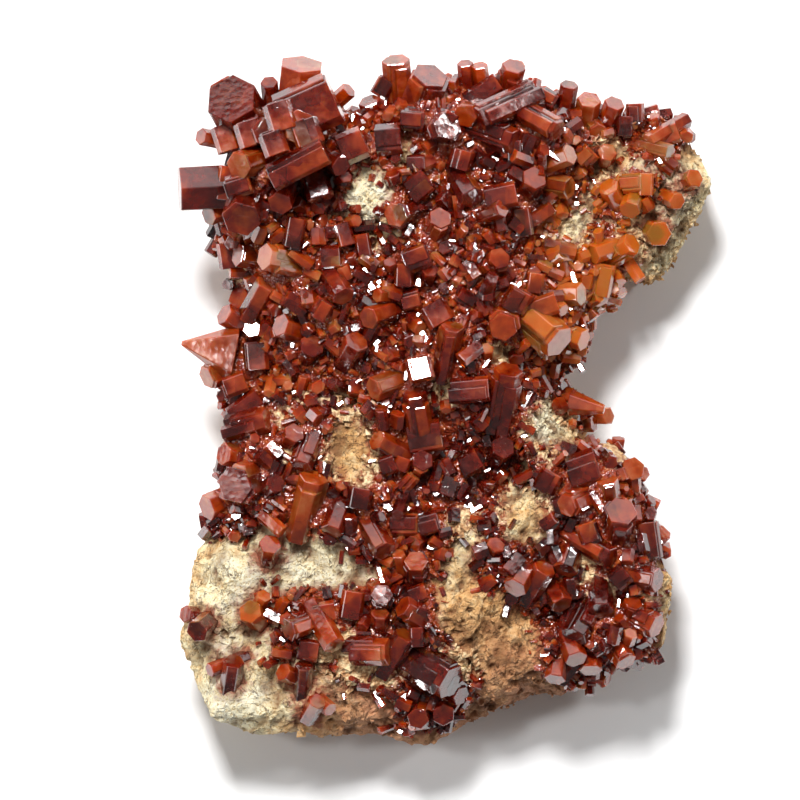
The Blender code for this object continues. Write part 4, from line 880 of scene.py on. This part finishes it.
def centre_and_root(crystal, ground):
    """Middle of the prism and the extra length that runs down into the bed."""
    upright = math.cos(math.radians(crystal.tilt))
    foot = crystal.rise + CRYSTAL_SINK - crystal.length / 2 * upright
    root = max(foot, 0.0) / upright if crystal.tilt < ROOTED_BELOW else 0.0
    height = ground.height(crystal.x, crystal.y) + crystal.rise
    turn = axis_turn(crystal)
    centre = Vector((crystal.x, crystal.y, height))
    centre -= turn.to_3x3() @ Vector((0, 0, root / 2))
    return centre, root, turn


def hexagonal_prism(form, crystal, length, matrix):
    """A closed six-sided prism about the matrix's Z; its +X and -X faces are the broad ones."""
    half = crystal.across / 2
    flat = half * crystal.wide
    thick = (half - flat) * math.tan(PRISM_ANGLE)
    corners = ((thick, -flat), (thick, flat), (0, half), (-thick, flat), (-thick, -flat),
               (0, -half))
    rings = [[form.verts.new(matrix @ (Vector((x * share, y * share, z)) * MM))
              for x, y in corners]
             for share, z in ((1.0, -length / 2), (crystal.taper, length / 2))]
    foot, tip = rings
    form.faces.new(reversed(foot))
    form.faces.new(tip)
    for i in range(len(corners)):
        form.faces.new((foot[i - 1], foot[i], tip[i], tip[i - 1]))
    return foot, tip


def finished_prism(form, layers, crystal, length, matrix, dice, warm_or_shade):
    """One crystal with bevelled edges, marked with its own tone."""
    foot, tip = hexagonal_prism(form, crystal, length, matrix)
    # The tip is marked to be painted lighter as a glow, the foot darker as painted shade.
    for vertex in tip:
        vertex[layers[2]] = 1.0
    verts = foot + tip
    edges = list({edge for vertex in verts for edge in vertex.link_edges})
    width = min(BEVEL_SHARE * crystal.across, WIDEST_BEVEL) * MM
    bevelled = bmesh.ops.bevel(form, geom=edges, offset=width, segments=1, affect="EDGES",
                               profile=0.5)
    depth = dice.uniform(*OWN_TONES)
    for vertex in set(bevelled["verts"]) | {v for v in verts if v.is_valid}:
        vertex[layers[0]] = depth
        vertex[layers[1]] = warm_or_shade


def parallel_growths(crystal, dice, bundled):
    """The crystals that make up a placed one, side by side on one axis, and their offsets.

    A bundled one has three thinner crystals round it that end at different heights; any
    other large one has a single thinner crystal on one side.
    """
    if crystal.across < TWINNED_FROM or crystal.taper != 1.0:
        return [(crystal, Vector())]
    bundled = bundled and crystal.across >= BUNDLED_FROM and crystal.wide < BROAD
    count, shares, drop = BUNDLE if bundled else SIDE_GROWTH
    core = crystal.across * (BUNDLE_CORE if bundled else 1.0)
    growths = [(crystal._replace(across=core), Vector())]
    start = dice.uniform(0, 2 * math.pi)
    for number in range(count):
        angle = start + number * 2 * math.pi / count
        share = dice.uniform(*shares)
        away = 0.5 * (GROWTH_REACH - share) * crystal.across
        aside = Vector((math.cos(angle) * away,
                        math.sin(angle) * away * crystal.wide * GROWTH_DEPTH,
                        dice.uniform(drop, 0.02)))
        growths.append((crystal._replace(across=crystal.across * share), aside))
    return growths


def crystal_object(name, crystals, ground, dice, bundled=False):
    """Listed crystals of one crust in one mesh."""
    form = bmesh.new()
    layers = [form.verts.layers.float.new(mark) for mark in MARKS]
    for crystal in crystals:
        centre, root, turn = centre_and_root(crystal, ground)
        stand = Matrix.Translation(centre * MM) @ turn
        # How orange the crystal runs, or below zero how much painted shade darkens it.
        warm_or_shade = float(warmth(np.array([[crystal.x, crystal.y]]))[0])
        for grown, aside in parallel_growths(crystal, dice, bundled):
            finished_prism(form, layers, grown, grown.length + root,
                           stand @ Matrix.Translation(aside * MM), dice, warm_or_shade)
    return link_object(name, store(form, bpy.data.meshes.new(name)))


def rock_part(name, keep):
    """A copy of the rock's faces whose numbers are kept."""
    form = form_of(bpy.data.objects["rock"].data)
    bmesh.ops.delete(form, geom=[face for face in form.faces if face.index not in keep],
                     context="FACES")
    return link_object(name, store(form, bpy.data.meshes.new(name)))


def under_crust(node):
    """Numbers of the rock's faces under a crust's solid, and of those just beside it."""
    rock = bpy.data.objects["rock"].data
    crust = tree_of(frame["nodes"][node].data)
    covered, fringe = set(), set()
    for face in rock.polygons:
        start = face.center - face.normal * BED_START * MM
        if crust.ray_cast(start, face.normal, BED_SEARCH * MM)[0] is not None:
            covered.add(face.index)
        elif crust.find_nearest(face.center, BED_FRINGE * MM)[0] is not None:
            fringe.add(face.index)
    return covered, fringe


def make_bed(name, covered, settings):
    """The rock's own face under a crust, lifted into a thin lumpy bed."""
    bed = rock_part(name, covered)
    form = form_of(bed.data)
    form.normal_update()
    for vertex in form.verts:
        lump = broken_face(vertex.co / MM, BED_LUMP) * BED_LUMP_RISE
        vertex.co += vertex.normal * (settings.bed_height + lump * MM)
    store(form, bed.data)
    return bed


def keep_room(bed, crystals, ground, share, steepest=-1.0):
    """Mark where crystals may grow: off the placed ones and off rock steeper than asked."""
    here = places(bed.data)
    free = np.full(len(here), share)
    free[vertex_vectors(bed.data, "normal")[:, 2] < steepest] = 0.0
    box = np.array([list(corner) for corner in CAD_BOX]) / MM
    free[np.any((here < box[0] + BOX_ROOM) | (here > box[1] - BOX_ROOM), axis=1)] = 0.0
    for crystal in crystals:
        centre, root, turn = centre_and_root(crystal, ground)
        axis = np.array(turn.to_3x3() @ Vector((0, 0, 1)))
        along = np.clip((here - np.array(centre)) @ axis, -(crystal.length + root) / 2,
                        (crystal.length + root) / 2)
        gap = np.linalg.norm(here - np.array(centre) - along[:, None] * axis, axis=1)
        free[gap < crystal.across * ROOT_CLEARANCE] = 0.0
    bare = np.clip(spot_sum(BARE_SPOTS, here[:, :2], 3), 0, 1)
    set_values(bed.data, "bare", bare)
    set_values(bed.data, "free", free * (1 - BARE_THINNING * bare))
    # How orange the grown crystals run, or below zero how much painted shade darkens them.
    set_values(bed.data, "warmth", warmth(here[:, :2]))


def seed_section(dice):
    """Six corners of a prism: a hexagon whose opposite faces have grown unequally."""
    reach = [dice.uniform(*SEED_REACH) for _ in range(3)]
    corners = []
    for i in range(6):
        a, b = math.radians(60 * i + 30), math.radians(60 * i + 90)
        first, second = reach[i % 3], reach[(i + 1) % 3]
        whole = math.sin(b - a)
        corners.append(Vector(((first * math.sin(b) - second * math.sin(a)) / whole,
                               (second * math.cos(a) - first * math.cos(b)) / whole)))
    return corners


def add_prism(form, corners, low, high, bevelled):
    """A closed prism on given corners, its tip bevelled where asked."""
    rings = [(1.0, low), (1.0, high - TIP_EDGE), (TIP_SHARE, high)] if bevelled else [
        (1.0, low), (1.0, high)]
    made = [[form.verts.new((x * share * MM, y * share * MM, z * MM)) for x, y in corners]
            for share, z in rings]
    # The tip is marked to be painted lighter as a glow, the foot darker as painted shade.
    along = form.verts.layers.float["along"]
    for ring in made[1:]:
        for vertex in ring:
            vertex[along] = 1.0
    form.faces.new(reversed(made[0]))
    form.faces.new(made[-1])
    for lower, upper in zip(made, made[1:]):
        for i in range(len(corners)):
            form.faces.new((lower[i - 1], lower[i], upper[i], upper[i - 1]))


def seed_crystals(name, lengths, bevelled):
    """A collection of small crystal shapes, each 1 mm across, that the growth picks from."""
    folder = bpy.data.collections.new(name)
    dice = random.Random(SEED)
    for i, length in enumerate(lengths):
        form = bmesh.new()
        form.verts.layers.float.new("along")
        add_prism(form, seed_section(dice), SEED_FOOT, length - SEED_SUNK, bevelled)
        if bevelled and i % 3 == 0:
            side = Vector((dice.uniform(-0.3, 0.3), dice.uniform(-0.3, 0.3)))
            twin = [corner * TWIN_SHARE + side for corner in seed_section(dice)]
            end = length - SEED_SUNK + dice.uniform(-0.2, 0.16)
            add_prism(form, twin, SEED_FOOT, end, bevelled)
        mesh = store(form, bpy.data.meshes.new(f"{name}_{i}"))
        folder.objects.link(bpy.data.objects.new(f"{name}_{i}", mesh))
    return folder


def growth_tree():
    """Geometry nodes that grow crystals of random size and lean over a bed."""
    tree = bpy.data.node_groups.new("crystal_growth", "GeometryNodeTree")
    face = tree.interface
    face.new_socket(name="Bed", in_out="INPUT", socket_type="NodeSocketGeometry")
    for label in ("Spacing", "Smallest", "Largest", "Least Lean", "Lean", "Glint"):
        face.new_socket(name=label, in_out="INPUT", socket_type="NodeSocketFloat")
    face.new_socket(name="Seed", in_out="INPUT", socket_type="NodeSocketInt")
    face.new_socket(name="Shapes", in_out="INPUT", socket_type="NodeSocketCollection")
    face.new_socket(name="Finish", in_out="INPUT", socket_type="NodeSocketMaterial")
    face.new_socket(name="Crystals", in_out="OUTPUT", socket_type="NodeSocketGeometry")
    given = add_node(tree, "NodeGroupInput").outputs
    free = add_node(tree, "GeometryNodeInputNamedAttribute", {"data_type": "FLOAT"},
                    {"Name": "free"})
    spread = add_node(tree, "GeometryNodeDistributePointsOnFaces",
                      {"distribute_method": "POISSON"}, {
        "Mesh": given["Bed"], "Distance Min": given["Spacing"], "Density Max": DENSEST,
        "Density Factor": free.outputs["Attribute"], "Seed": given["Seed"]})
    heading, lean, roll, size, tone = (
        add_node(tree, "FunctionNodeRandomValue", {"data_type": "FLOAT"}, {
            2: low, 3: high, "Seed": seed}).outputs[1]
        for low, high, seed in (
            (0.0, 2 * math.pi, 11), (given["Least Lean"], given["Lean"], 12),
            (0.0, 2 * math.pi, 13), (given["Smallest"], given["Largest"], 14),
            (0.0, 1.0, 16)))
    bend = add_node(tree, "ShaderNodeCombineXYZ", inputs={"X": lean, "Z": heading})
    bend_turn = add_node(tree, "FunctionNodeEulerToRotation", inputs={0: bend.outputs[0]})
    spin = add_node(tree, "ShaderNodeCombineXYZ", inputs={"Z": roll})
    spin_turn = add_node(tree, "FunctionNodeEulerToRotation", inputs={0: spin.outputs[0]})
    leaning = add_node(tree, "FunctionNodeRotateRotation", {"rotation_space": "LOCAL"}, {
        0: spread.outputs["Rotation"], 1: bend_turn.outputs[0]})
    turned = add_node(tree, "FunctionNodeRotateRotation", {"rotation_space": "LOCAL"}, {
        0: leaning.outputs[0], 1: spin_turn.outputs[0]})
    towards = add_node(tree, "FunctionNodeRandomValue", {"data_type": "FLOAT_VECTOR"}, {
        0: GLINT_LOW, 1: GLINT_HIGH, "Seed": 17})
    flat = add_node(tree, "FunctionNodeAlignRotationToVector", {"axis": "Y"}, {
        "Rotation": spin_turn.outputs[0], "Vector": towards.outputs[0]})
    chance = add_node(tree, "FunctionNodeRandomValue", {"data_type": "BOOLEAN"}, {
        "Probability": given["Glint"], "Seed": 18})
    facing = add_node(tree, "GeometryNodeSwitch", {"input_type": "ROTATION"}, {
        "Switch": chance.outputs[3], "False": turned.outputs[0], "True": flat.outputs[0]})
    lift = add_node(tree, "ShaderNodeVectorMath", {"operation": "SCALE"}, {
        0: spread.outputs["Normal"], "Scale": size})
    lifted = add_node(tree, "ShaderNodeVectorMath", {"operation": "SCALE"}, {
        0: lift.outputs[0], "Scale": GROWTH_LIFT * MM})
    raised = add_node(tree, "GeometryNodeSetPosition", inputs={
        "Geometry": spread.outputs["Points"], "Offset": lifted.outputs[0]})
    uneven = add_node(tree, "FunctionNodeRandomValue", {"data_type": "FLOAT_VECTOR"}, {
        0: (0.82, 0.82, 0.8), 1: (1.15, 1.15, 1.2), "Seed": 15})
    scale = add_node(tree, "ShaderNodeVectorMath", {"operation": "SCALE"}, {
        0: uneven.outputs[0], "Scale": size})
    shapes = add_node(tree, "GeometryNodeCollectionInfo", inputs={
        "Collection": given["Shapes"], "Separate Children": True, "Reset Children": True})
    grown = add_node(tree, "GeometryNodeInstanceOnPoints", inputs={
        "Points": raised.outputs[0], "Instance": shapes.outputs[0], "Pick Instance": True,
        "Rotation": facing.outputs[0], "Scale": scale.outputs[0]})
    toned = add_node(tree, "GeometryNodeStoreNamedAttribute", {
        "data_type": "FLOAT", "domain": "INSTANCE"}, {
        "Geometry": grown.outputs[0], "Name": "depth", "Value": tone})
    real = add_node(tree, "GeometryNodeRealizeInstances", inputs={0: toned.outputs[0]})
    dressed = add_node(tree, "GeometryNodeSetMaterial", inputs={
        "Geometry": real.outputs[0], "Material": given["Finish"]})
    add_node(tree, "NodeGroupOutput", inputs={0: dressed.outputs[0]})
    return tree


def grow(name, bed, tree, values):
    """Run the growth on a bed and keep the crystals as a plain mesh."""
    guide = link_object(name, bed.data.copy())
    growth = guide.modifiers.new("growth", "NODES")
    growth.node_group = tree
    for item in tree.interface.items_tree:
        if item.item_type == "SOCKET" and item.name in values:
            growth[item.identifier] = values[item.name]
    return apply_modifiers(guide)


def join(name, parts):
    """One object from several, the first one's materials first."""
    with bpy.context.temp_override(active_object=parts[0], object=parts[0],
                                   selected_objects=parts, selected_editable_objects=parts):
        bpy.ops.object.join()
    parts[0].name = name
    parts[0].data.name = name
    return parts[0]


def close_bed(bed, thickness):
    """Give the bed a back face inside the rock, so that it is a closed shell."""
    shell = bed.modifiers.new("shell", "SOLIDIFY")
    shell.thickness = thickness
    shell.offset = -1.0
    return apply_modifiers(bed)


def slot_of(node):
    return "orange_vanadinite" if node in ORANGE_NODES else "red_vanadinite"


class VANADINITE_OT_crusts(bpy.types.Operator):
    """Grow the drusy crusts and their crystals"""
    bl_idname = "vanadinite.crusts"
    bl_label = "Crusts"

    def execute(self, context):
        settings = context.scene.vanadinite_crystals
        ground = Ground()
        medium_shapes = seed_crystals("medium_shapes", MEDIUM_LENGTHS, True)
        small_shapes = seed_crystals("small_shapes", SMALL_LENGTHS, False)
        tree = growth_tree()
        finishes = crystal_finishes(settings)
        for number, (node, crystals) in enumerate(CRUSTS):
            slot = slot_of(node)
            covered, fringe = under_crust(node)
            bed = make_bed(node + "_bed", covered, settings)
            keep_room(bed, crystals, ground, 1.0)
            border = rock_part(node + "_border", fringe)
            keep_room(border, crystals, ground, FRINGE_SHARE, STRAY_UPRIGHT)
            large = crystal_object(node + "_crystals", crystals, ground, random.Random(node),
                                   node != "upper_left_cluster")
            large.data.materials.append(finishes[slot])
            common = {"Finish": finishes[slot], "Least Lean": settings.least_lean,
                      "Lean": settings.lean}
            fine = {**common, "Spacing": settings.small_spacing, "Smallest": SMALL_SIZES[0],
                    "Largest": SMALL_SIZES[1], "Glint": settings.glint, "Shapes": small_shapes}
            medium = grow(node + "_medium", bed, tree, {
                **common, "Spacing": settings.medium_spacing, "Smallest": MEDIUM_SIZES[0],
                "Largest": MEDIUM_SIZES[1], "Glint": 0.0, "Shapes": medium_shapes,
                "Seed": 3 * number})
            small = grow(node + "_small", bed, tree, {**fine, "Seed": 3 * number + 1})
            stray = grow(node + "_stray", border, tree, {**fine, "Seed": 3 * number + 2})
            bpy.data.objects.remove(border, do_unlink=True)
            close_bed(bed, BED_DEPTH * MM)
            bed.data.materials.clear()
            bed.data.materials.append(finishes["druse"])
            piece = join(node + "_piece", [large, medium, small, stray, bed])
            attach(piece, "root")
            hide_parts(node)
        clear_folder(medium_shapes)
        clear_folder(small_shapes)
        return {"FINISHED"}


def crystal_finishes(settings):
    """The finishes shared by the crusts and the lone crystals."""
    if not FINISHES:
        FINISHES["red_vanadinite"] = vanadinite("glassy_red_vanadinite", (
            linear("#4a0803"), settings.red, settings.bright_red, linear("#e4864c"),
            linear("#ea7a20")))
        FINISHES["orange_vanadinite"] = vanadinite("glassy_orange_vanadinite", (
            linear("#741a03"), settings.orange, settings.bright_orange, linear("#f29654"),
            linear("#f07818")))
        FINISHES["druse"] = drusy_ground("fine_vanadinite_druse")
    return FINISHES


class VANADINITE_OT_singles(bpy.types.Operator):
    """Place the crystals that stand alone on bare rock"""
    bl_idname = "vanadinite.singles"
    bl_label = "Lone Crystals"

    def execute(self, context):
        ground = Ground()
        finishes = crystal_finishes(context.scene.vanadinite_crystals)
        for node, crystals in SINGLES:
            slot = slot_of(node)
            piece = crystal_object(node + "_piece", crystals, ground, random.Random(node))
            piece.data.materials.append(finishes[slot])
            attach(piece, "root")
            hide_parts(node)
        return {"FINISHED"}


class VANADINITE_OT_stage(bpy.types.Operator):
    """Set the floor, the soft lights and the camera"""
    bl_idname = "vanadinite.stage"
    bl_label = "Stage"

    def execute(self, context):
        settings = context.scene.vanadinite_stage
        bpy.ops.mesh.primitive_circle_add(vertices=96, radius=4.0, fill_type="NGON")
        floor = context.active_object
        floor.name = "floor"
        floor.data.materials.append(matte_floor("white_paper"))
        set_lights(context.scene)
        camera_data = bpy.data.cameras.new("camera")
        camera_data.sensor_width = 36.0
        away = settings.camera_height - LENS_LEVEL
        camera_data.lens = camera_data.sensor_width * away / settings.field
        camera = bpy.data.objects.new("camera", camera_data)
        camera.location = (settings.centre_x, 0.0, settings.camera_height)
        context.scene.collection.objects.link(camera)
        context.scene.camera = camera
        return {"FINISHED"}


# Soft boxes: name, place in metres, width, height, power in watts
LIGHTS = (
    ("key", (-0.12, 0.50, 0.78), 0.18, 0.18, 11.0),
    ("overhead", (0.06, 0.10, 1.30), 0.5, 0.5, 0.12),
    ("back_sweep", (0.0, 1.30, 0.45), 1.8, 0.8, 3.5),
    ("left_fill", (-1.2, -0.1, 0.6), 0.6, 0.6, 2.9),
    ("right_fill", (1.2, 0.1, 0.5), 0.6, 0.6, 1.2),
    ("left_glint", (-0.50, 0.10, 0.85), 0.10, 0.10, 1.4),
    ("right_glint", (0.55, 0.30, 0.70), 0.10, 0.10, 1.4),
)


def set_lights(scene):
    """Soft boxes round the specimen and an even pale sky."""
    for name, place, width, height, power in LIGHTS:
        data = bpy.data.lights.new(name, "AREA")
        data.shape = "RECTANGLE"
        data.size = width
        data.size_y = height
        data.energy = power
        lamp = bpy.data.objects.new(name, data)
        lamp.location = place
        aim = Vector((0, 0, LENS_LEVEL)) - Vector(place)
        lamp.rotation_euler = aim.to_track_quat("-Z", "Y").to_euler()
        lamp.visible_camera = False
        scene.collection.objects.link(lamp)
    world = bpy.data.worlds.new("studio")
    world.use_nodes = True
    sky = world.node_tree.nodes["Background"]
    sky.inputs["Color"].default_value = linear("#ffffff")
    sky.inputs["Strength"].default_value = 0.09
    scene.world = world
    scene.view_settings.view_transform = "Standard"


class VANADINITE_PT_panel(bpy.types.Panel):
    """Settings and steps of the specimen"""
    bl_idname = "VANADINITE_PT_panel"
    bl_label = "Vanadinite on Matrix"
    bl_space_type = "VIEW_3D"
    bl_region_type = "UI"
    bl_category = "Vanadinite"

    def draw(self, context):
        column = self.layout.column()
        for group in ("vanadinite_rock", "vanadinite_crystals", "vanadinite_stage"):
            settings = getattr(context.scene, group)
            for name in settings.bl_rna.properties.keys():
                if name not in ("rna_type", "name"):
                    column.prop(settings, name)
        for operator in OPERATORS:
            column.operator(operator.bl_idname)


OPERATORS = (VANADINITE_OT_rock, VANADINITE_OT_crusts, VANADINITE_OT_singles,
             VANADINITE_OT_stage)
GROUPS = (("vanadinite_rock", RockSettings), ("vanadinite_crystals", CrystalSettings),
          ("vanadinite_stage", StageSettings))


def register():
    for name, group in GROUPS:
        bpy.utils.register_class(group)
        setattr(bpy.types.Scene, name, bpy.props.PointerProperty(type=group))
    for item in (*OPERATORS, VANADINITE_PT_panel):
        bpy.utils.register_class(item)


def unregister():
    for item in (VANADINITE_PT_panel, *reversed(OPERATORS)):
        bpy.utils.unregister_class(item)
    for name, group in reversed(GROUPS):
        delattr(bpy.types.Scene, name)
        bpy.utils.unregister_class(group)


def main():
    register()
    bpy.ops.vanadinite.rock()
    bpy.ops.vanadinite.crusts()
    bpy.ops.vanadinite.singles()
    bpy.ops.vanadinite.stage()


if __name__ == "__main__":
    main()
